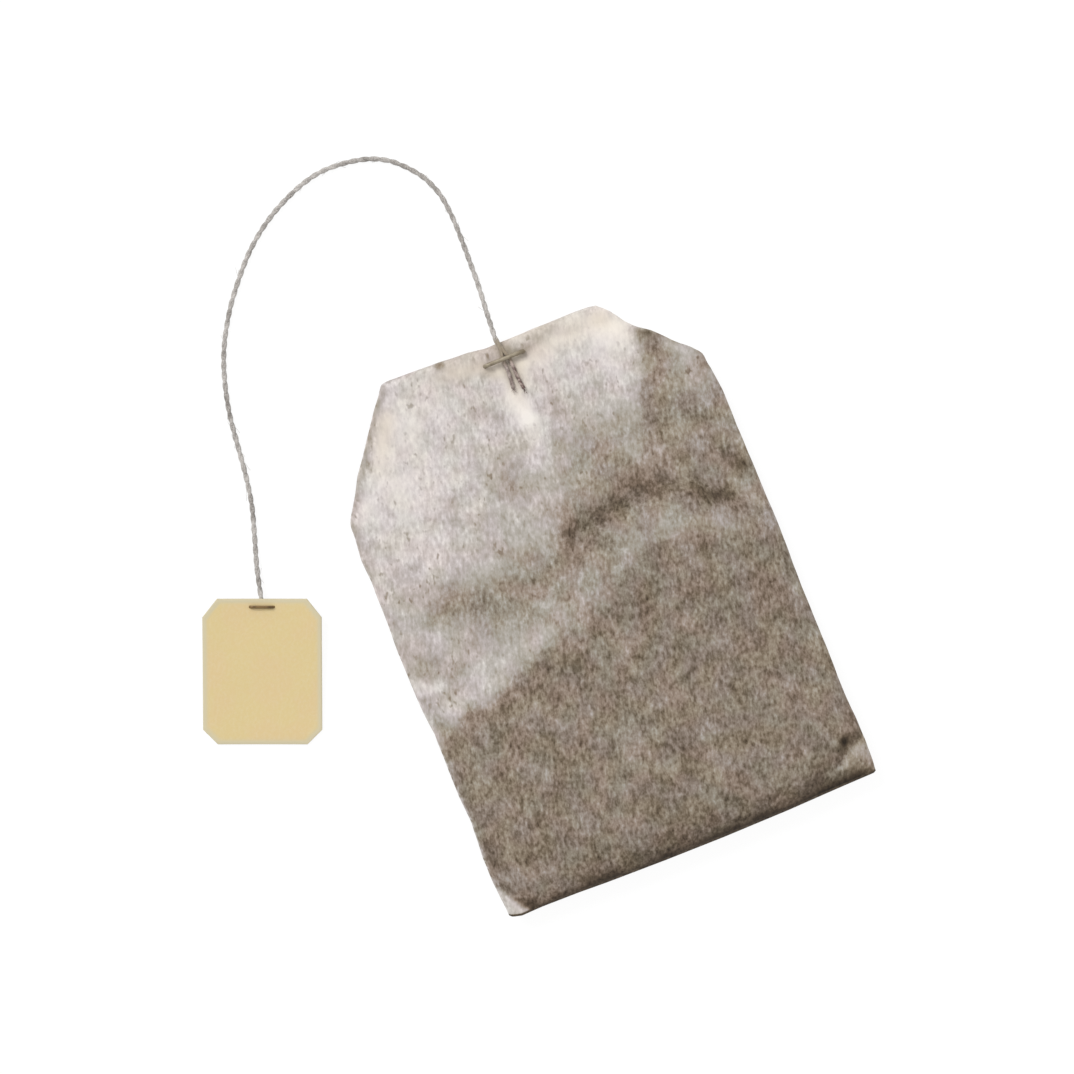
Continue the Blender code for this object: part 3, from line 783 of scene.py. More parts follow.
@dataclass(frozen=True)
class LeafAndShade:
    """How bright the front looks, by the leaf and paper layers behind it and by painted shade and
    highlights.

    Places are in millimetres and tones go from 0 to 255. Marks and creamy strokes are given by their
    reach and their places, ripples by size, seed and height, and a fall by slope, start and length.
    """

    leaf: float = 127.0
    empty: float = 212.0
    leaf_line: Line = (
        (-25.6, -10.4), (-23.6, -10), (-21.6, -9.6), (-20, -7.8), (-17, -8), (-14, -6.9),
        (-11.5, -5.8), (-9, -4.8), (-6, -3.7), (-3, -2.9), (0, -1.5), (3, -0.2), (6, 1.6), (9, 2.4),
        (12, 1.6), (17, 1.8), (21, -0.3), (25.6, -2))
    tongue_line: Line = (
        (6, 15.5), (13, 14), (18.5, 13.6), (21.5, 14.6), (24, 16.3), (28.3, 17.4))
    # Painted shade and highlights among the marks: dark strokes in creases, hollows, under the staple
    # crown and along the edges, light strokes on ridges; other strokes follow the leaf behind the paper.
    marks: tuple[Stroke, ...] = strokes(
        (3, (-22.5, 7, -7), (-18, 5.6, -32), (-12, 3.6, -38), (-6, 4.4, -24), (-2.6, 4.6, -32)),
        (1.7, (-18.5, -6.2, 5), (-15, -4.2, 9), (-11.5, -2.6, 7)),
        (1.75, (-0.4, 5.8, -24), (0.2, 8.2, -46), (3.2, 8.2, -40), (5.6, 9, -44), (8.2, 9.7, -42),
         (11.3, 9.9, -50), (14, 9.2, -40), (16.4, 7.8, -38), (18.6, 6.6, -42), (21, 4.9, -44),
         (22.4, 3.4, -22)),
        (1, (0.8, 11.6, -12), (0.6, 9.6, -26), (0.3, 7.6, -14)),
        (1, (4.6, 8.5, -12), (7.2, 10.2, -12)),
        (1, (10.6, 12, -12), (11, 10.2, -16)),
        (1, (17.8, 12.6, -10), (17.7, 9.6, -14)),
        (0.9, (14.6, 0.2, -12), (15.2, -2.2, -16)),
        (1.3, (7, -1.6, -12), (5.6, -6.6, -14)),
        (1, (24.6, -8.5, 10), (24.7, -12.5, 20), (24.6, -17, 12)),
        (0.8, (18.4, 6.6, -10), (21, 5.2, -26)),
        (0.9, (22.6, 10.6, -22), (24.2, 8.4, -56)),
        (1, (22.6, 7.2, 16), (23.8, 3.6, 20)),
        (1.6, (4.2, 12.8, 12), (6.4, 13.6, 8)),
        (1, (15.7, 21.5, -16), (15.9, 15.2, -22), (17.6, 12, -16)),
        (1.2, (18.4, 28.4, -30), (18.9, 26.6, -24), (18.5, 24, -12)),
        (0.9, (20.8, 26.4, 40), (22.4, 25.2, 24)),
        (1.4, (22.4, 23.8, 26), (23.6, 20.4, 16)),
        (1.4, (21, 17.4, -20), (21.4, 15.8, -22)),
        (1.3, (-12.4, 16.8, -24), (-12.6, 15.2, -26)),
        (0.6, (-17, 7.8, -22), (-16.3, 7.5, -22)),
        (1, (-17.4, 6, -12), (-12.6, 2.7, -12)),
        (0.5, (-24.6, 5.2, -12), (-20.1, 3.9, -14)),
        (0.9, (-21.2, 2.6, 10), (-20, 2.6, 10)),
        (1.4, (-24.6, 1.4, -16), (-23.6, -0.6, -22), (-22.6, -1.8, -22)),
        (0.9, (-24.7, -2.6, 26), (-22.4, -3.9, 32)),
        (1, (-21.4, -5, -28), (-18.6, -2.2, -24)),
        (1, (-24.6, -5.2, -30), (-24.4, -8.6, -26)),
        (1.1, (-22.2, -7.2, 28), (-21.4, -7.4, 22)),
        (1.6, (-20, -0.8, -10), (-6, -0.6, -12), (-3, -1.2, -8)),
        (1.4, (12.6, -8.6, -16), (11.6, -9.6, -16)),
        (1.2, (-6.2, -21.4, 14), (-5, -22, 14)),
        (1.5, (3.6, 2, 9), (8, 3.8, 16), (13, 4, 10), (18, 2.6, 14), (20.5, 0.6, 12)),
        (1.9, (-0.4, 12.4, 4), (0, 18, 6), (0.3, 21, 22), (0.4, 23.4, 46), (0.2, 27, 34)),
        (2.6, (-4.4, 20, -14), (-4.4, 16.6, -16)),
        (1.8, (-6.8, 24.6, 2), (-4, 24.4, 10)),
        (2.6, (13, 28.8, 13), (15.4, 31, 20)),
        (1, (0.5, 34.7, -26), (1.3, 33.7, -30), (3.1, 32.8, -36)),
        (0.8, (3.5, 32.7, -24), (5.4, 33.4, -26), (7.6, 33.9, -20), (9.4, 34, -6)),
        (0.5, (-2.4, 31.4, -20), (-1.4, 31.7, -16)),
        (0.8, (-0.5, 31.3, 20), (-0.3, 29.4, 14)),
        (0.8, (2.9, 31.2, 20), (2.8, 29.2, 12)),
        (1.7, (-13.6, 28.4, 12), (-6, 28.8, 14)),
        (1.1, (-3.6, 26.4, -14), (-2.8, 25.6, -16)),
        (0.8, (-5.8, 27, -12), (-5.4, 26.6, -12)),
        (0.8, (4.8, 24.4, -14), (4.9, 22.2, -14)),
        (0.8, (10.6, 24.6, -14), (11.2, 24.2, -12)),
        (1, (1.2, 23.8, 16), (2.4, 22.8, 10)),
        (0.5, (-14, 35.2, -34), (-9, 35.2, -26), (-4, 35, -10)),
        (0.42, (-7.6, 34.3, -72), (-7.1, 34.4, -64)),
        (0.8, (-15.3, 34.3, -32), (-20.2, 27.2, -36), (-24.9, 20.4, -32), (-25.4, 13, -16)),
        (0.5, (-20, 26, -40), (-19.7, 25.5, -40)),
        (0.5, (18.5, 29.1, -30), (18.8, 28.8, -26)),
        (0.6, (21.2, -31.7, -22), (22, -30.8, -40), (22.9, -29.5, -46)),
        (0.7, (23, -29.7, -44), (24.6, -29.5, -40)),
        (0.65, (22.6, -31.9, 34), (23.8, -31.3, 52), (25.1, -31.3, 48)),
        (0.8, (24, -32.8, 26), (25.2, -32.6, 30)),
        (0.42, (21.2, -32.6, 52), (22.2, -32.5, 44)),
        (0.65, (-24.3, -30.2, -16), (-23.6, -32.6, -30), (-21.9, -34.4, -34)),
        (1, (-25.3, -14, -5), (-24.4, -22, -8), (-24.6, -28.6, -5)),
    )
    half_width: float = 25.6
    half_length: float = 35.0
    wander: tuple[Point, ...] = ((4.0, 11.0, 0.9), (1.6, 12.0, 0.6))
    blotches: tuple[Point, ...] = ((5.0, 21.0, 16.0), (2.1, 22.0, 18.0))
    fall_right: Point = (1.5, -17.0, 17.0)
    fall_down: Point = (1.6, 20.0, 16.0)
    right_tones: Pair = (146.0, 206.0)
    right_rise: Pair = (11.0, 29.0)
    right_side: Pair = (0.6, 3.4)
    tongue_tone: float = 148.0
    tongue_blend: Pair = (-0.7, 1.5)
    tongue_foot: Pair = (8.0, 12.0)
    tongue_top: Pair = (28.2, 30.0)
    leaf_blend: Pair = (-1.7, 1.9)
    rim_lift: float = 22.0
    rim_reach: Pair = (0.1, 1.1)
    rim_top: Pair = (-8.0, 4.0)
    cream_lift: float = 9.0
    corner_tone: float = 198.0
    corner_slopes: Pair = (1.4, 0.85)
    corner_blend: Pair = (3.2, 4.6)
    leafy_tones: Pair = (150.0, 190.0)
    # Strength of the painted shade along the bottom edge.
    fold_shade: float = 72.0
    fold_height: float = 0.3
    creamy: tuple[Stroke, ...] = strokes(
        (1.7, (2.6, 31, 0.9), (8, 32.3, 0.7), (13, 32.6, 0.6)),
        (1.2, (-1.2, 31, 1), (-2.4, 32.2, 1), (-6.4, 32.8, 0.9), (-9, 32.8, 0.4)),
        (1.3, (0.9, 33, 1), (0.9, 29, 0.9), (0.6, 25.5, 0.3)),
        (1.4, (-19.6, 25, 0.3), (-18, 27.4, 0.7), (-16.2, 30.6, 0.8)),
        (1.6, (14.6, 32, 0.6), (18.6, 27.6, 0.3)),
        (1, (-9, 34.6, 0.3), (-2, 34.6, 0.6), (7, 34.4, 0.5), (11, 34.2, 0.2)),
    )

    def cream(self, x: float, y: float) -> float:
        """How creamy and smooth the paper looks where several layers lie together."""
        return min(sum(stroke.at(x, y) for stroke in self.creamy), 1.0)

    def at(self, x: float, y: float, from_left: float) -> float:
        """Tone of the front at a place.

        Args:
            x: Distance across the bag.
            y: Distance up the bag.
            from_left: Distance from the bag's left edge.

        Returns:
            The tone, before the grain of the paper.
        """
        wander = ripples(x, y, *self.wander)
        slope, start, length = self.fall_right
        left = self.empty - slope * clamp(x - start, 0.0, length)
        slope, start, length = self.fall_down
        left -= slope * clamp(start - y, 0.0, length)
        low, high = self.right_tones
        right = low + (high - low) * smooth_step(y, *self.right_rise)
        tone = left + (right - left) * smooth_step(x, *self.right_side)
        tongue_x = height_on(self.tongue_line, y) + wander
        tongue = smooth_step(x - tongue_x, *self.tongue_blend) * smooth_step(y, *self.tongue_foot)
        tone += (self.tongue_tone - tone) * tongue * fade(y, *self.tongue_top)
        line = height_on(self.leaf_line, x) + wander
        tone += (self.leaf - tone) * fade(y - line, *self.leaf_blend)
        # The marks add leaf behind the paper, painted shade in creases, hollows and along edges, and
        # painted highlights on ridges.
        tone += sum(mark.at(x + wander * 0.3, y + wander * 0.25) for mark in self.marks)
        tone += self.cream_lift * self.cream(x, y)
        tone += self.rim_lift * fade(from_left, *self.rim_reach) * fade(y, *self.rim_top)
        across, up = self.corner_slopes
        corner = fade((x + self.half_width) * across + (y + self.half_length) * up, *self.corner_blend)
        tone += (self.corner_tone - tone) * corner
        tone += ripples(x, y, *self.blotches) * (0.6 + 0.4 * fade(tone, *self.leafy_tones))
        # Painted shade along the bottom edge, where the front rounds down to its fold.
        right_of_corner = smooth_step(x, -24.0, -13.0)
        shade = self.fold_shade * (0.6 + 0.4 * right_of_corner) * (1 - corner)
        shade *= 1 + 0.22 * smooth_step(x, 12.0, 20.0) - 0.85 * smooth_step(x, 23.0, 25.0)
        reach = 0.5 + 0.8 * right_of_corner
        return tone - shade * math.exp(-max(y + self.half_length - self.fold_height, 0.0) / reach)


@dataclass(frozen=True)
class Outline:
    """How far the bag's edges, uneven from handling, stray from straight ones, outwards, in millimetres.
    """

    left: Line = (
        (-34, -0.25), (-30, 0.06), (-26.5, 0.12), (-21.5, -0.22), (-18, 0.02), (-9.5, 0.02),
        (-6, 0.34), (2, 0.48), (6, 0.32), (12, 0.3), (15, 0.46), (18, 0.28), (19.8, 0.5), (21.3, 0.4),
        (22.8, 0.36), (25, 0.6), (30, 0.32), (32, 0.2), (33.5, 0.05), (34.6, 0.15))
    right: Line = (
        (-34.4, -0.3), (-33.4, -0.2), (-30.5, -0.12), (-27, -0.22), (-24, -0.38), (-18, -0.26),
        (-9, -0.26), (-3, -0.12), (0, -0.08), (6, -0.16), (13, -0.26), (18, -0.22), (20.5, -0.42),
        (22, -0.36), (23.5, 0.38), (24.8, 0.34), (26, -0.05), (28.6, 0), (29.9, -0.44), (31.2, -0.35),
        (32.4, 0.07), (33.7, 0.42))
    bottom: Line = (
        (-25.7, -0.55), (-24.8, -0.2), (-23.8, 0.06), (-21, -0.04), (-16, 0.03), (-12, 0.18),
        (-4, 0.33), (4, 0.37), (13, 0.25), (20, 0.02), (24.2, -0.08), (25.7, -0.12))
    top: Line = (
        (-14.5, 0.15), (-7, -0.12), (-3.5, -0.35), (-1, -0.66), (11, -0.58), (14.5, -0.66))
    side_wave: Point = (2.6 * MM, 41.0, 0.07)
    top_wave: Point = (2.2 * MM, 42.0, 0.06)
    corner_x: float = 14.5
    corner_radius: float = 1.3

    def strayed(self, x: float, y: float) -> Pair:
        """Where a point of the straight-edged bag ends up, in metres.

        Args:
            x: Distance across the bag, in metres.
            y: Distance up the bag, in metres.

        Returns:
            The point's new x and y.
        """
        across, up = x / MM, y / MM
        side = self.left if across < 0 else self.right
        out = height_on(side, up) + ripples(x, y, self.side_wave)
        out *= smooth_step(abs(across), 9.0, 24.0 - max(up - 22.0, 0.0))
        across += out if across > 0 else -out
        up -= height_on(self.bottom, across) * fade(up, -35.0, -24.0)
        lift = height_on(self.top, across) + ripples(x, y, self.top_wave)
        past = max(abs(across + 0.6) - (self.corner_x - self.corner_radius), 0.0)
        cut = 0.10 * min(past, self.corner_radius) ** 2 * smooth_step(up, 33.0, 34.8)
        up += lift * smooth_step(up, 27.0, 34.5) - cut
        return across * MM, up * MM


@dataclass
class PaperBag:
    """The filter paper: one tube folded into two chambers, a pleat and a top flap."""

    form: BagForm
    finish: FilterPaperFinish = FilterPaperFinish()
    outer_columns: int = 124
    inner_columns: int = 14
    sheet_thickness: float = 0.07 * MM
    waves: tuple[Point, ...] = ((6.5 * MM, 1.3, 0.16), (2.9 * MM, 4.1, 0.075))
    fine_wave: Point = (1.25 * MM, 7.7, 0.022)
    slack_span: Pair = (-6.0 * MM, 4.0 * MM)
    smooth_top: Pair = (22.0 * MM, 29.0 * MM)
    back_leaf_top: float = 12.0 * MM
    back_slope: float = 0.12
    back_blend: Pair = (-2.5 * MM, 2.5 * MM)
    back_wander: tuple[Point, ...] = ((5.0 * MM, 31.0, 2.2 * MM), (2.0 * MM, 32.0, 1.0 * MM))
    back_tones: Pair = (0.50, 0.76)
    # Dark of the bottom folds: leaf behind the paper and painted shade where the tube turns under.
    pleat_tone: float = 0.30
    inner_tone: float = 0.82
    corner_tone: float = 0.84
    corner_rows: int = 16
    top_calm: float = 1.0 * MM
    shadow: LeafAndShade = LeafAndShade()
    outline: Outline = Outline()
    creases: tuple[Stroke, ...] = strokes(
        (0.45, (4.5, 32.4, 0.1), (14, 32.2, 0.1)),
        (0.45, (-2.6, 32.2, 0.05), (-9.5, 32.8, 0.05)),
        (0.45, (21.2, -32.4, 0.35), (25.2, -30.1, 0.35)),
        (0.5, (-24.9, -31.2, 0.25), (-21.8, -34.6, 0.25)),
        (0.9, (-23.5, -9, 0.16), (-8, -1, 0.16)),
        (0.5, (-22, 22, 0.08), (-9, 30.5, 0.08)),
        (1, (-21, 4.5, 0.12), (-9, 9.5, 0.12)),
        (1.2, (6, 2.5, -0.16), (10.5, 7.5, -0.16)),
        (1.2, (10.5, 7.5, -0.16), (17, 2.5, -0.16)),
    )

    def rows(self) -> list[tuple[int, Callable[[float], Station]]]:
        """The stretches of the tube in order, each with its number of rows and its sections.

        Returns:
            Pairs of a row count and a function from 0..1 along the stretch to its section.
        """
        form = self.form
        up, down, over = math.pi / 2, -math.pi / 2, math.pi * 1.5
        radius = form.pitch / 2
        low, high = form.bottom_fold_y, form.top_fold_y
        pleat_y = low + form.pleat_height
        back = form.back_z
        bottom_z = back + 3 * form.pitch
        fold_z = (back + form.pitch + form.outer_flap_z) / 2
        inner_radius = form.outer_fold_radius - form.pitch
        outer_end = high - form.top_flap + math.pi * form.pitch

        def fold(cy: float, cz: float, size: float, start: float, end: float,
                 face_out: bool) -> Callable[[float], Station]:
            """A turn round a centre, from one angle to another.

            Args:
                cy: The centre's y.
                cz: The centre's z.
                size: The turn's radius.
                start: Its first angle.
                end: Its last angle.
                face_out: Whether the tube's outside faces away from the centre.

            Returns:
                A function from a share of the turn to its section.
            """
            def at(t: float) -> Station:
                """The section at a share of the turn.

                Args:
                    t: The share.

                Returns:
                    The section.
                """
                angle = start + (end - start) * t
                turn = angle - math.pi / 2 if face_out else angle + math.pi / 2
                y = cy + size * math.cos(angle)
                return Station(y, cz + size * math.sin(angle), turn, y, Side.FLAT)
            return at

        def leg(start: float, end: float, z: float, turn: float,
                behind_top: bool = False) -> Callable[[float], Station]:
            """A level stretch; the part behind the top widens downwards as the front narrows upwards.

            Args:
                start: Y of its start.
                end: Y of its end.
                z: Its height.
                turn: Its face's direction.
                behind_top: Whether it hangs down behind the top edge.

            Returns:
                A function from a share of the stretch to its section.
            """
            def at(t: float) -> Station:
                """The section at a share of the stretch."""
                y = start + (end - start) * t
                return Station(y, z, turn, 2 * high - y if behind_top else y, Side.FLAT)
            return at

        def front(t: float) -> Station:
            """The section at a share of the front, from its top down."""
            y = low + (high - low) * (1 - t) ** 1.2
            return Station(y, form.front_z(y), 0.0, y, Side.FRONT)

        def rear(t: float) -> Station:
            """The section at a share of the back, from its bottom up."""
            y = low + (high - low) * t ** 1.2
            return Station(y, back, math.pi, y, Side.BACK)

        return [
            (10, leg(outer_end, high, form.outer_flap_z, math.pi, True)),
            (12, fold(high, fold_z, form.outer_fold_radius, down, up, True)),
            (184, front),
            (8, fold(low, bottom_z - radius, radius, up, over, True)),
            (4, leg(low, pleat_y, bottom_z - form.pitch, math.pi)),
            (8, fold(pleat_y, back + 1.5 * form.pitch, radius, up, down, False)),
            (4, leg(pleat_y, low, back + form.pitch, 0.0)),
            (8, fold(low, back + radius, radius, up, over, True)),
            (58, rear),
            (10, fold(high, fold_z, inner_radius, up, down, False)),
            (10, leg(high, high - form.top_flap, form.outer_flap_z + form.pitch, 0.0, True)),
        ]

    def pucker(self, x: float, y: float) -> float:
        """Fine unevenness of the front face, in metres, strongest where the paper is slack.

        Args:
            x: Distance across the bag, in metres.
            y: Distance up the bag, in metres.

        Returns:
            The height.
        """
        form = self.form
        slack = smooth_step(y - form.settled_height(x), *self.slack_span)
        below_top = fade(y, *self.smooth_top)
        height = ripples(x, y, *self.waves) * (0.55 + 0.65 * slack) + ripples(x, y, self.fine_wave)
        height *= form.from_edge(x, y) * (0.12 + 0.88 * below_top)
        height -= sum(crease.at(x / MM, y / MM) for crease in self.creases)
        return height * MM * fade(y, form.top_fold_y - self.top_calm, form.top_fold_y)

    def tone(self, station: Station, x: float, outside: bool) -> float:
        """Brightness of a point of the tube, from 0 to 1.

        Args:
            station: The section that the point lies on.
            x: Distance across the bag.
            outside: Whether it is on the outer of the section's two plies.

        Returns:
            The brightness.
        """
        y = station.y
        over_top = y > self.form.top_fold_y - WELD and math.cos(station.turn) > 0.1
        if outside and (station.side is Side.FRONT or over_top):
            from_left = (self.form.half_width(y, -1) + x) / MM
            return self.shadow.at(x / MM, y / MM, from_left) / 255
        # Outside the bottom folds and the pleat the paper is dark: leaf behind it, with painted shade
        # where the tube turns under.
        if not outside or station.side is Side.FLAT:
            return self.pleat_tone if outside and y < 0 else self.inner_tone
        line = self.back_leaf_top + ripples(x, y, *self.back_wander) + x * self.back_slope
        low, high = self.back_tones
        return low + (high - low) * smooth_step(y - line, *self.back_blend)

    def build(self) -> Piece:
        """Folds a flat grid into the bag and dresses it.

        Returns:
            The finished bag.
        """
        stretches = self.rows()
        stations = [stretches[0][1](0.0)]
        for count, at in stretches:
            stations += [at((k + 1) / count) for k in range(count)]
        columns = self.outer_columns + self.inner_columns
        bm = bmesh.new()
        bmesh.ops.create_grid(bm, x_segments=columns, y_segments=len(stations) - 1, size=1.0)
        tones = bm.verts.layers.float.new("tone")
        creams = bm.verts.layers.float.new("cream")
        for vertex in bm.verts:
            column = round((vertex.co.x + 1) / 2 * columns)
            row = round((vertex.co.y + 1) / 2 * (len(stations) - 1))
            self.place(vertex, column, stations[row], tones)
            vertex[creams] = self.shadow.cream(vertex.co.x / MM, vertex.co.y / MM)
        bmesh.ops.remove_doubles(bm, verts=bm.verts, dist=WELD)
        self.add_corner(bm, -1, tones)
        self.add_corner(bm, 1, tones)
        bmesh.ops.recalc_face_normals(bm, faces=bm.faces)
        bag = mesh_piece("filter_paper_bag", bm, self.finish.material(), 60.0)
        shell = bag.modifiers.new("paper thickness", "SOLIDIFY")
        shell.thickness = self.sheet_thickness
        shell.offset = -1.0
        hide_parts("filter_paper")
        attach(bag, "root")
        return bag

    def place(self, vertex: bmesh.types.BMVert, column: int, station: Station,
              tones: bmesh.types.BMLayerItem) -> None:
        """Moves one point of the flat grid to its place in the folded tube.

        Args:
            vertex: The point.
            column: Its place round the section.
            station: The section.
            tones: The layer that holds the brightness.
        """
        form = self.form
        outside = column <= self.outer_columns
        if outside:
            t = 2 * column / self.outer_columns - 1
        else:
            t = 1 - 2 * (column - self.outer_columns) / self.inner_columns
        share = 0.7 * t + 0.3 * math.sin(math.pi / 2 * t)
        left, right = -form.half_width(station.width_y, -1), form.half_width(station.width_y, 1)
        x = (left + right) / 2 + (right - left) / 2 * share
        height = form.flat / 2
        if outside and station.side is Side.FRONT:
            height = form.front_rise(x, station.y) + self.pucker(x, station.y)
        elif outside and station.side is Side.BACK:
            height = form.back_rise(x, station.y)
        inside = min((right - left) / 2 * (1 - abs(share)) / form.crease_radius, 1.0)
        height *= math.sqrt(max(1 - (1 - inside) ** 2, 0.0))
        if not outside:
            height = -height
        turn = station.turn
        plan = self.outline.strayed(x, station.y - math.sin(turn) * height)
        vertex.co = (*plan, station.z + math.cos(turn) * height)
        vertex[tones] = self.tone(station, x, outside)

    def add_corner(self, bm: bmesh.types.BMesh, direction: int, tones: bmesh.types.BMLayerItem) -> None:
        """Adds a top corner folded behind the bag: the side crease mirrored in the shoulder.

        Args:
            bm: The bag so far.
            direction: Left (-1) or right (1).
            tones: The layer that holds the brightness.
        """
        form = self.form
        run, rise = form.left_shoulder if direction < 0 else form.right_shoulder
        length = math.hypot(run, rise)
        slope = (2 * (rise / length) ** 2 - 1) / (2 * run * rise / length ** 2)
        foot = form.top_y - rise
        places = [foot + (form.top_fold_y - foot) * k / self.corner_rows
                  for k in range(self.corner_rows + 1)]
        outline = [(direction * (form.half_width(y, direction) - form.corner_inset), y) for y in places]
        inner_x = direction * form.corner_gap / 2
        outline.append((inner_x, form.top_fold_y))
        outline.append((inner_x, foot + (abs(outline[0][0]) - abs(inner_x)) * slope))
        low = form.corner_z - form.corner_fold / 2
        corners = [bm.verts.new((*self.outline.strayed(x, y), low)) for x, y in outline]
        face = bm.faces.new(corners)
        top = raised(bm, [face], form.corner_fold)
        for vertex in corners + top:
            vertex[tones] = self.corner_tone


@dataclass
class LeafCharge:
    """The loose leaf in one chamber, as a crumbly heap inside the paper."""

    node: str
    finish: Material
    cuts: int = 3
    crumble: float = 0.22 * MM
    crumb_size: float = 0.8 * MM
    coarse: float = 1.2 * MM

    def build(self) -> Piece:
        """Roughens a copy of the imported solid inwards.

        Returns:
            The finished heap.
        """
        bm = bmesh.new()
        bm.from_mesh(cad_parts[self.node].data)
        bmesh.ops.remove_doubles(bm, verts=bm.verts, dist=WELD)
        long_edges = [e for e in bm.edges if e.calc_length() > self.coarse]
        bmesh.ops.subdivide_edges(bm, edges=long_edges, cuts=self.cuts, use_grid_fill=True)
        bmesh.ops.triangulate(bm, faces=bm.faces)
        bm.normal_update()
        moves = []
        for vertex in bm.verts:
            bump = noise.noise(vertex.co / self.crumb_size) * 0.5 + 0.5
            moves.append((vertex, vertex.co - vertex.normal * bump * self.crumble))
        for vertex, place in moves:
            vertex.co = place
        heap = mesh_piece(f"{self.node}_leaf", bm, self.finish, 70.0)
        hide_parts(self.node)
        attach(heap, "root")
        return heap


@dataclass
class Staple:
    """A closed wire staple: clinched tip, leg, crown, leg, clinched tip."""

    node: str
    crown: float
    wire: float
    bend: float
    crown_z: float
    clinch_z: float
    tip_gap: float
    place: Matrix
    finish: WireFinish
    bend_steps: int = 8
    end_rounding: float = 0.14

    def route(self) -> list[Vector]:
        """Centre line of the staple, in place.

        Returns:
            The line's points.
        """
        half = (self.crown - self.wire) / 2
        corners = [Vector((x, 0.0, z)) for x, z in (
            (-self.tip_gap, self.clinch_z), (-half, self.clinch_z), (-half, self.crown_z),
            (half, self.crown_z), (half, self.clinch_z), (self.tip_gap, self.clinch_z))]
        points = [corners[0]]
        for before, corner, after in zip(corners, corners[1:], corners[2:]):
            size = min(self.bend, (before - corner).length / 2, (after - corner).length / 2)
            start = (before - corner).normalized() * size
            end = (after - corner).normalized() * size
            for step in range(self.bend_steps + 1):
                angle = math.pi / 2 * step / self.bend_steps
                points.append(corner + start * (1 - math.sin(angle)) + end * (1 - math.cos(angle)))
        points.append(corners[-1])
        return [self.place @ point for point in points]

    def build(self) -> Piece:
        """Builds the wire with softened cut ends.

        Returns:
            The finished staple.
        """
        bm = tube_mesh([self.route()], [self.wire / 2], 6)
        ends = [f for f in bm.faces if len(f.verts) > 4]
        rims = [e for f in ends for e in f.edges]
        bmesh.ops.bevel(bm, geom=rims, offset=self.wire * self.end_rounding, segments=2, profile=0.5,
                        affect="EDGES", material=-1)
        staple = mesh_piece(f"{self.node}_wire", bm, self.finish.material())
        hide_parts(self.node)
        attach(staple, "root")
        return staple


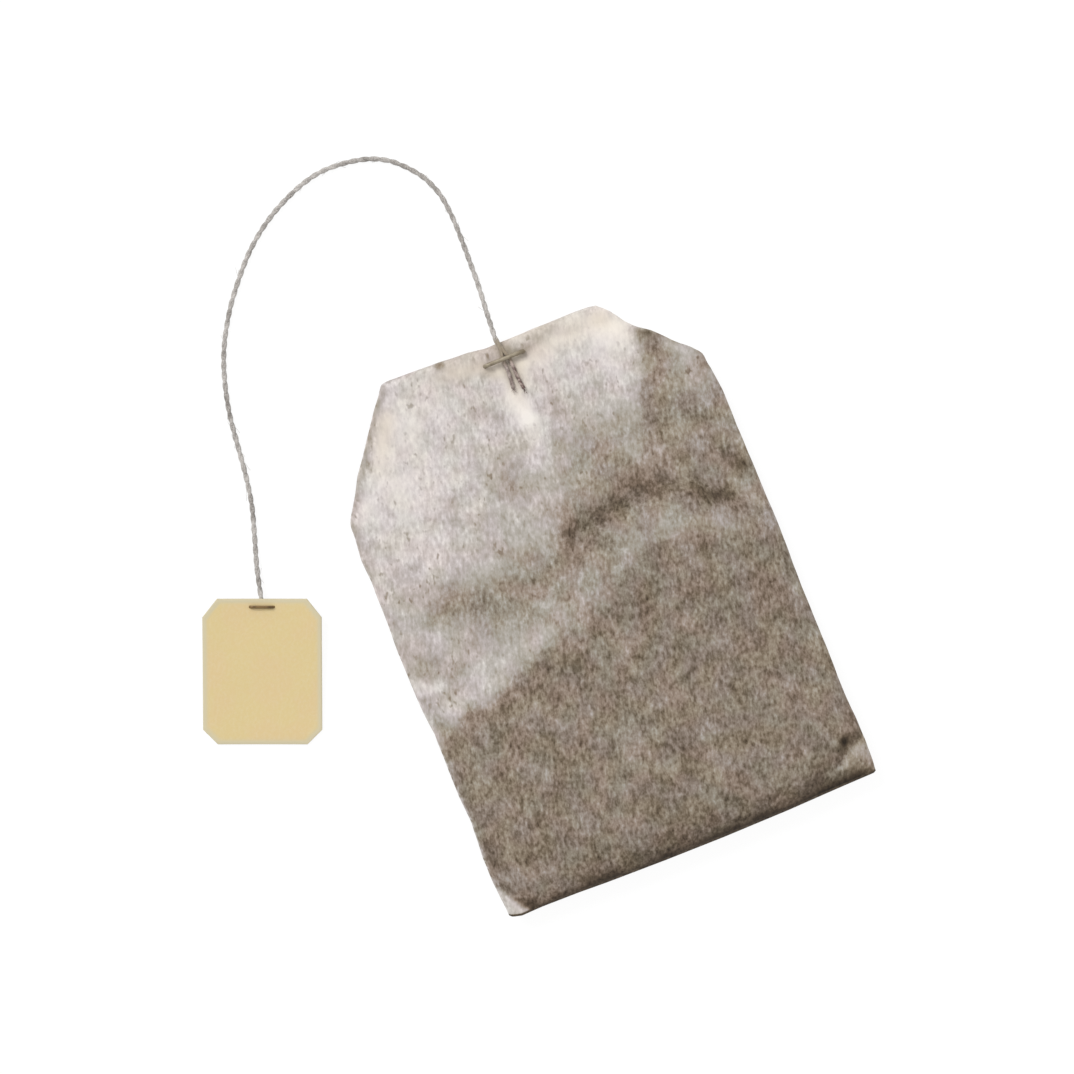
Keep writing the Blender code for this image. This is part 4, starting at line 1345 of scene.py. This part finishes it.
@dataclass
class Thread:
    """The two-ply string, from its frayed ends under the bag's staple to its end behind the tag."""

    finish: ThreadFinish = ThreadFinish()
    diameter: float = 0.70 * MM
    ply: float = 0.48 * MM
    twist_pitch: float = 2.7 * MM
    step: float = 0.15 * MM
    route: tuple[Point, ...] = (
        (0.85, 33.3, 3.37), (0.64, 34.8, 3.28), (0.74, 36.6, 2.55), (0.94, 39.2, 1.25),
        (1.2, 42.4, 0.5), (1.32, 45.8, 0.37), (1.4, 49.1, 0.37), (1.35, 52.3, 0.37),
        (0.98, 55.1, 0.37), (0.12, 57.4, 0.37), (-0.9, 59, 0.37), (-2.15, 60.4, 0.37),
        (-3.8, 61.8, 0.37), (-6.2, 62.9, 0.37), (-9.35, 63.5, 0.37), (-12.7, 63.5, 0.37),
        (-16.4, 62.5, 0.37), (-20.7, 60.4, 0.37), (-24.65, 57.4, 0.37), (-28.45, 53.2, 0.37),
        (-30.9, 49.7, 0.37), (-32.7, 46.3, 0.37), (-34, 42.6, 0.37), (-34.9, 38.7, 0.37),
        (-35.4, 34.8, 0.37), (-35.9, 30.7, 0.37), (-36.6, 26.9, 0.37), (-37.7, 23.2, 0.4),
        (-38.9, 19.4, 0.6), (-39.7, 16.2, 0.84), (-40.2, 14.3, 0.86), (-41.3, 11.4, 0.58))
    left_ply: tuple[Point, ...] = (
        (0.4, 28.1, 3.3), (0.56, 29.8, 3.26), (0.6, 31.2, 3.22), (0.56, 32.2, 3.22),
        (0.66, 32.9, 3.26))
    right_ply: tuple[Point, ...] = (
        (1.66, 27.6, 3.36), (1.44, 29.4, 3.27), (1.4, 31.2, 3.22), (1.3, 32.2, 3.22),
        (1.1, 32.9, 3.26))
    fuzz_count: int = 70
    fuzz_radius: float = 0.018 * MM
    fuzz_seed: int = 7
    fray_count: int = 9
    path_step: float = 0.5 * MM

    def frames(self, path: list[Vector]) -> list[tuple[Vector, Vector]]:
        """Two directions across the path at each of its points, carried along without twist.

        Args:
            path: The path.

        Returns:
            The two directions for each point.
        """
        across = Vector((1.0, 0.0, 0.0))
        frames = []
        for index in range(len(path)):
            before, after = path[max(index - 1, 0)], path[min(index + 1, len(path) - 1)]
            along = (after - before).normalized()
            across = (across - along * across.dot(along)).normalized()
            frames.append((across.copy(), along.cross(across)))
        return frames

    def plies(self) -> list[list[Vector]]:
        """Centre lines of the two plies: parted under the staple, twisted from there on.

        Returns:
            The two lines.
        """
        path = smooth_route(self.route, self.step)
        frames = self.frames(path)
        radius = (self.diameter - self.ply) / 2
        lines = []
        for start, side in ((self.left_ply, -1), (self.right_ply, 1)):
            line = smooth_route(start, self.step)
            for index, (point, (across, upward)) in enumerate(zip(path, frames)):
                angle = 2 * math.pi * index * self.step / self.twist_pitch
                offset = across * math.cos(angle) + upward * math.sin(angle)
                line.append(point + offset * radius * side)
            lines.append(line)
        return lines

    def fuzz(self, lines: list[list[Vector]]) -> list[list[Vector]]:
        """Loose fibres along the thread, and frayed fibres at the parted tips.

        Args:
            lines: The centre lines of the plies.

        Returns:
            The centre line of each fibre.
        """
        rng = random.Random(self.fuzz_seed)
        shares = (0.0, 0.33, 0.66, 1.0)
        fibres = []
        for _ in range(self.fuzz_count):
            line = rng.choice(lines)
            index = rng.randrange(60, len(line) - 40)
            root = line[index]
            along = (line[index + 1] - root).normalized()
            out = Vector((rng.uniform(-1, 1), rng.uniform(-1, 1), rng.uniform(0.0, 0.8)))
            out = (out - along * out.dot(along)).normalized()
            reach = rng.uniform(0.5, 1.3) * MM
            lean = rng.choice((-1, 1)) * rng.uniform(0.6, 1.4)
            fibres.append([root + out * reach * t * 0.5 + along * lean * reach * t * t for t in shares])
        for fibre in fibres:
            for point in fibre:
                point.z = max(point.z, self.fuzz_radius)
        for line in lines:
            tip = line[0]
            along = (line[0] - line[4]).normalized()
            for _ in range(self.fray_count):
                spread = Vector((rng.uniform(-1, 1), rng.uniform(-0.4, 0.4), rng.uniform(-0.25, 0.35)))
                reach = rng.uniform(0.5, 1.1) * MM
                fibres.append([tip - along * 0.3 * MM + along * reach * t + spread * 0.35 * MM * t * t
                               for t in shares])
        return fibres

    def build(self, ends: list[Piece]) -> Piece:
        """Args:
            ends: The tag and its staple, which hang on the thread; not used.

        Returns:
            The finished thread.
        """
        lines = self.plies()
        fibres = self.fuzz(lines)
        bm = tube_mesh(lines + fibres, [self.ply / 2] * 2 + [self.fuzz_radius] * len(fibres), 2)
        staple_shade = bm.verts.layers.float.new("staple_shade")
        crown_shade = bm.verts.layers.float.new("crown_shade")
        for vertex in bm.verts:
            x, y = vertex.co.x / MM, vertex.co.y / MM
            # Painted shade: the parted plies below the bag's staple and the string under its crown are
            # marked for darker colours.
            at_staple = fade(abs(x), 3.0, 5.0)
            share = at_staple * (0.6 + 0.3 * smooth_step(x, 0.7, 1.3))
            vertex[staple_shade] = share * fade(y, 32.0, 34.5)
            near = smooth_step(y, 30.8, 32.2) * fade(y, 34.0, 35.4)
            vertex[crown_shade] = 0.8 * at_staple * near
        thread = mesh_piece("string_thread", bm, self.finish.material(), 80.0)
        sides = (smooth_route(start, self.path_step) for start in (self.left_ply, self.right_ply))
        parted = [(a + b) / 2 for a, b in zip(*sides)]
        path = parted + smooth_route(self.route, self.path_step)
        length = sum((b - a).length for a, b in zip(path, path[1:]))
        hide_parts("string")
        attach(thread, "root")
        tuple(path[len(parted)])
        [tuple(p) for p in path]
        log.info("string: %.1f mm", length / MM)
        return thread


@dataclass
class Tag:
    """The octagonal card, raised at its top end by the string and the staple under it."""

    finish: CardFinish = CardFinish()
    width: float = 15.4 * MM
    length: float = 18.9 * MM
    card: float = 0.35 * MM
    top_chamfer: Pair = (1.9 * MM, 2.4 * MM)
    bottom_chamfer: Pair = (1.9 * MM, 1.9 * MM)
    centre: Pair = (-43.3 * MM, 6.4 * MM)
    turn: float = math.radians(-21.9)
    floor_gap: float = 0.02 * MM
    clearance: float = 0.05 * MM
    string: float = 0.70 * MM
    staple_wire: float = 0.45 * MM
    staple_below_top: float = 1.05 * MM
    rim_width: float = 0.62 * MM
    curl: float = 0.16 * MM
    wave_size: float = 6.0 * MM
    edge_rounding: float = 0.07 * MM
    cells: tuple[int, int] = (44, 54)

    @property
    def tilt(self) -> float:
        """Slope that the string and the staple give the card."""
        rise = self.floor_gap + self.staple_wire + self.string + 2 * self.clearance
        return math.atan2(rise, self.length - self.staple_below_top)

    def place(self) -> Matrix:
        """Place of the card's middle."""
        lift = (self.floor_gap + math.sin(self.tilt) * self.length / 2
                + math.cos(self.tilt) * self.card / 2)
        return (Matrix.Translation((*self.centre, lift)) @ Matrix.Rotation(self.turn, 4, "Z")
                @ Matrix.Rotation(self.tilt, 4, "X"))

    def chamfers(self) -> list[tuple[Vector, Vector]]:
        """A point on each corner's cut and the cut's outward direction.

        Returns:
            The four points and directions.
        """
        cuts = []
        for up, (run, rise) in ((1, self.top_chamfer), (-1, self.bottom_chamfer)):
            for side in (-1, 1):
                point = Vector((side * self.width / 2, up * (self.length / 2 - rise), 0.0))
                cuts.append((point, Vector((side * rise, up * run, 0.0)).normalized()))
        return cuts

    def inset(self, x: float, y: float) -> float:
        """Distance from a place to the card's outline.

        Args:
            x: Distance across the card.
            y: Distance along the card.

        Returns:
            The distance, positive inside.
        """
        away = [self.width / 2 - abs(x), self.length / 2 - abs(y)]
        away += [(point - Vector((x, y, 0.0))).dot(out) for point, out in self.chamfers()]
        return min(away)

    def build(self) -> Piece:
        """Cuts the card from a grid, gives it its thickness, soft edges and a slight curl.

        Returns:
            The finished card.
        """
        bm = bmesh.new()
        bmesh.ops.create_grid(bm, x_segments=self.cells[0], y_segments=self.cells[1], size=0.5)
        bmesh.ops.scale(bm, verts=bm.verts, vec=(self.width, self.length, 1.0))
        for point, out in self.chamfers():
            bmesh.ops.bisect_plane(bm, geom=bm.verts[:] + bm.edges[:] + bm.faces[:], plane_co=point,
                                   plane_no=out, clear_outer=True, dist=1e-8)
        bmesh.ops.translate(bm, verts=bm.verts, vec=(0.0, 0.0, -self.card / 2))
        raised(bm, bm.faces[:], self.card)
        bmesh.ops.recalc_face_normals(bm, faces=bm.faces)
        edges = [e for e in bm.edges if e.is_manifold and e.calc_face_angle() > math.radians(60)
                 and abs(e.verts[0].co.z - e.verts[1].co.z) < 1e-9]
        bmesh.ops.bevel(bm, geom=edges, offset=self.edge_rounding, segments=2, profile=0.5,
                        affect="EDGES", material=-1)
        rim = bm.verts.layers.float.new("rim")
        for vertex in bm.verts:
            x, y = vertex.co.x, vertex.co.y
            away = self.inset(x, y)
            vertex[rim] = fade(away, self.rim_width * 0.75, self.rim_width * 1.25)
            corner = (x / self.width * 2) ** 2 * (y / self.length * 2) ** 2
            wave = 0.5 * ripple(x, y, self.wave_size, 3.0) * min(away / MM, 1.0)
            vertex.co.z += self.curl * (corner + wave)
        bmesh.ops.transform(bm, matrix=self.place(), verts=bm.verts)
        card = mesh_piece("tag_card", bm, self.finish.material(), 50.0)
        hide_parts("tag")
        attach(card, "root")
        return card


@dataclass
class Studio:
    """Camera straight above, soft lamps and a white floor."""

    centre: Pair = (-3.9 * MM, 9.3 * MM)
    view_width: float = 138.0 * MM
    subject_height: float = 3.0 * MM
    roll: float = math.radians(-21.9)
    lens: float = 100.0
    sensor: float = 36.0
    glow_share: float = 0.86
    glow: float = 1.06
    floor_size: float = 3.0
    floor_grey: float = 0.86
    sky: float = 0.62

    def camera(self) -> Piece:
        """Places the camera over the object, turned as the photograph is.

        Returns:
            The camera.
        """
        data = bpy.data.cameras.new("camera")
        data.lens = self.lens
        data.sensor_width = self.sensor
        data.clip_start = 0.01
        camera = bpy.data.objects.new("camera", data)
        distance = self.view_width * self.lens / self.sensor
        camera.location = (*self.centre, distance + self.subject_height)
        camera.rotation_euler = (0.0, 0.0, self.roll)
        bpy.context.scene.collection.objects.link(camera)
        bpy.context.scene.camera = camera
        return camera

    def floor(self) -> None:
        """A wide white floor that keeps the object's shadow."""
        bm = bmesh.new()
        bmesh.ops.create_grid(bm, x_segments=1, y_segments=1, size=self.floor_size)
        sheet = NodeSheet("floor", 0.9)
        sheet.constant(Base_Color=(self.floor_grey,) * 3, Specular_IOR_Level=0.1)
        rays = sheet.add("ShaderNodeLightPath")
        seen = sheet.math("MAXIMUM", rays.outputs["Is Camera Ray"], rays.outputs["Is Glossy Ray"])
        seen = sheet.math("MAXIMUM", seen, rays.outputs["Is Transmission Ray"])
        glow = sheet.add("ShaderNodeEmission", {"Strength": self.glow}).outputs[0]
        both = sheet.add("ShaderNodeMixShader", {0: sheet.product(seen, self.glow_share),
                                                 1: sheet.shader.outputs[0], 2: glow})
        output = next(n for n in sheet.tree.nodes if n.type == "OUTPUT_MATERIAL")
        sheet.feed(output.inputs["Surface"], both.outputs[0])
        mesh_piece("floor", bm, sheet.material)

    def lamps(self) -> None:
        """A soft key from the photograph's upper left, and even light from all round."""
        self.sun("key", Vector((-0.39, 0.92, 1.05)), 1.45, 24.0)
        self.sun("fill", Vector((0.9, -0.4, 1.6)), 0.35, 60.0)
        world = bpy.data.worlds.new("world")
        world.use_nodes = True
        sky = world.node_tree.nodes["Background"].inputs
        sky["Color"].default_value = (1.0, 1.0, 1.0, 1.0)
        sky["Strength"].default_value = self.sky
        bpy.context.scene.world = world

    @staticmethod
    def sun(name: str, towards: Vector, strength: float, softness: float) -> None:
        """A sun lamp that shines from a direction, as soft as its angle in degrees.

        Args:
            name: The lamp's name.
            towards: The direction of the lamp, seen from the object.
            strength: Its strength.
            softness: Its angle.
        """
        data = bpy.data.lights.new(name, "SUN")
        data.energy = strength
        data.angle = math.radians(softness)
        lamp = bpy.data.objects.new(name, data)
        lamp.rotation_euler = towards.to_track_quat("Z", "Y").to_euler()
        bpy.context.scene.collection.objects.link(lamp)


def report(piece: Piece) -> None:
    """Logs a finished piece's name and number of faces."""
    log.info("%s: %d faces", piece.name, len(piece.data.polygons))


def main() -> None:
    """Builds every piece in order."""
    bpy.context.scene.view_settings.view_transform = "Standard"
    studio = Studio()
    studio.camera()
    form = BagForm()
    tag = Tag()
    card = tag.build()
    report(card)
    tag_staple = Staple(
        "tag_staple", crown=3.4 * MM, wire=0.38 * MM, bend=0.35 * MM,
        crown_z=tag.card / 2 + tag.clearance + tag.staple_wire / 2,
        clinch_z=-tag.card / 2 - 2 * tag.clearance - tag.string - tag.staple_wire / 2, tip_gap=0.3 * MM,
        place=tag.place() @ Matrix.Translation((0.0, tag.length / 2 - tag.staple_below_top, 0.0)),
        finish=WireFinish("tag staple wire", srgb(128, 102, 62), srgb(92, 70, 40), 0.20)).build()
    report(tag_staple)
    report(Thread().build([card, tag_staple]))
    report(PaperBag(form).build())
    leaf = LeafFinish().material()
    for node in ("tea_front", "tea_back"):
        report(LeafCharge(node, leaf).build())
    face_z = form.back_z + form.pitch + form.flat / 2
    report(Staple(
        "bag_staple", crown=5.8 * MM, wire=form.staple_wire, bend=0.45 * MM,
        crown_z=face_z + 2 * form.staple_clearance + 0.40 * MM + form.staple_wire / 2,
        clinch_z=form.floor_gap + form.staple_wire / 2, tip_gap=0.45 * MM,
        place=Matrix.Translation((0.7 * MM, form.top_y - 2.9 * MM, 0.0)),
        finish=WireFinish("bag staple wire", srgb(158, 147, 127), srgb(128, 116, 96), 0.25)).build())
    studio.floor()
    studio.lamps()


if __name__ == "__main__":
    main()
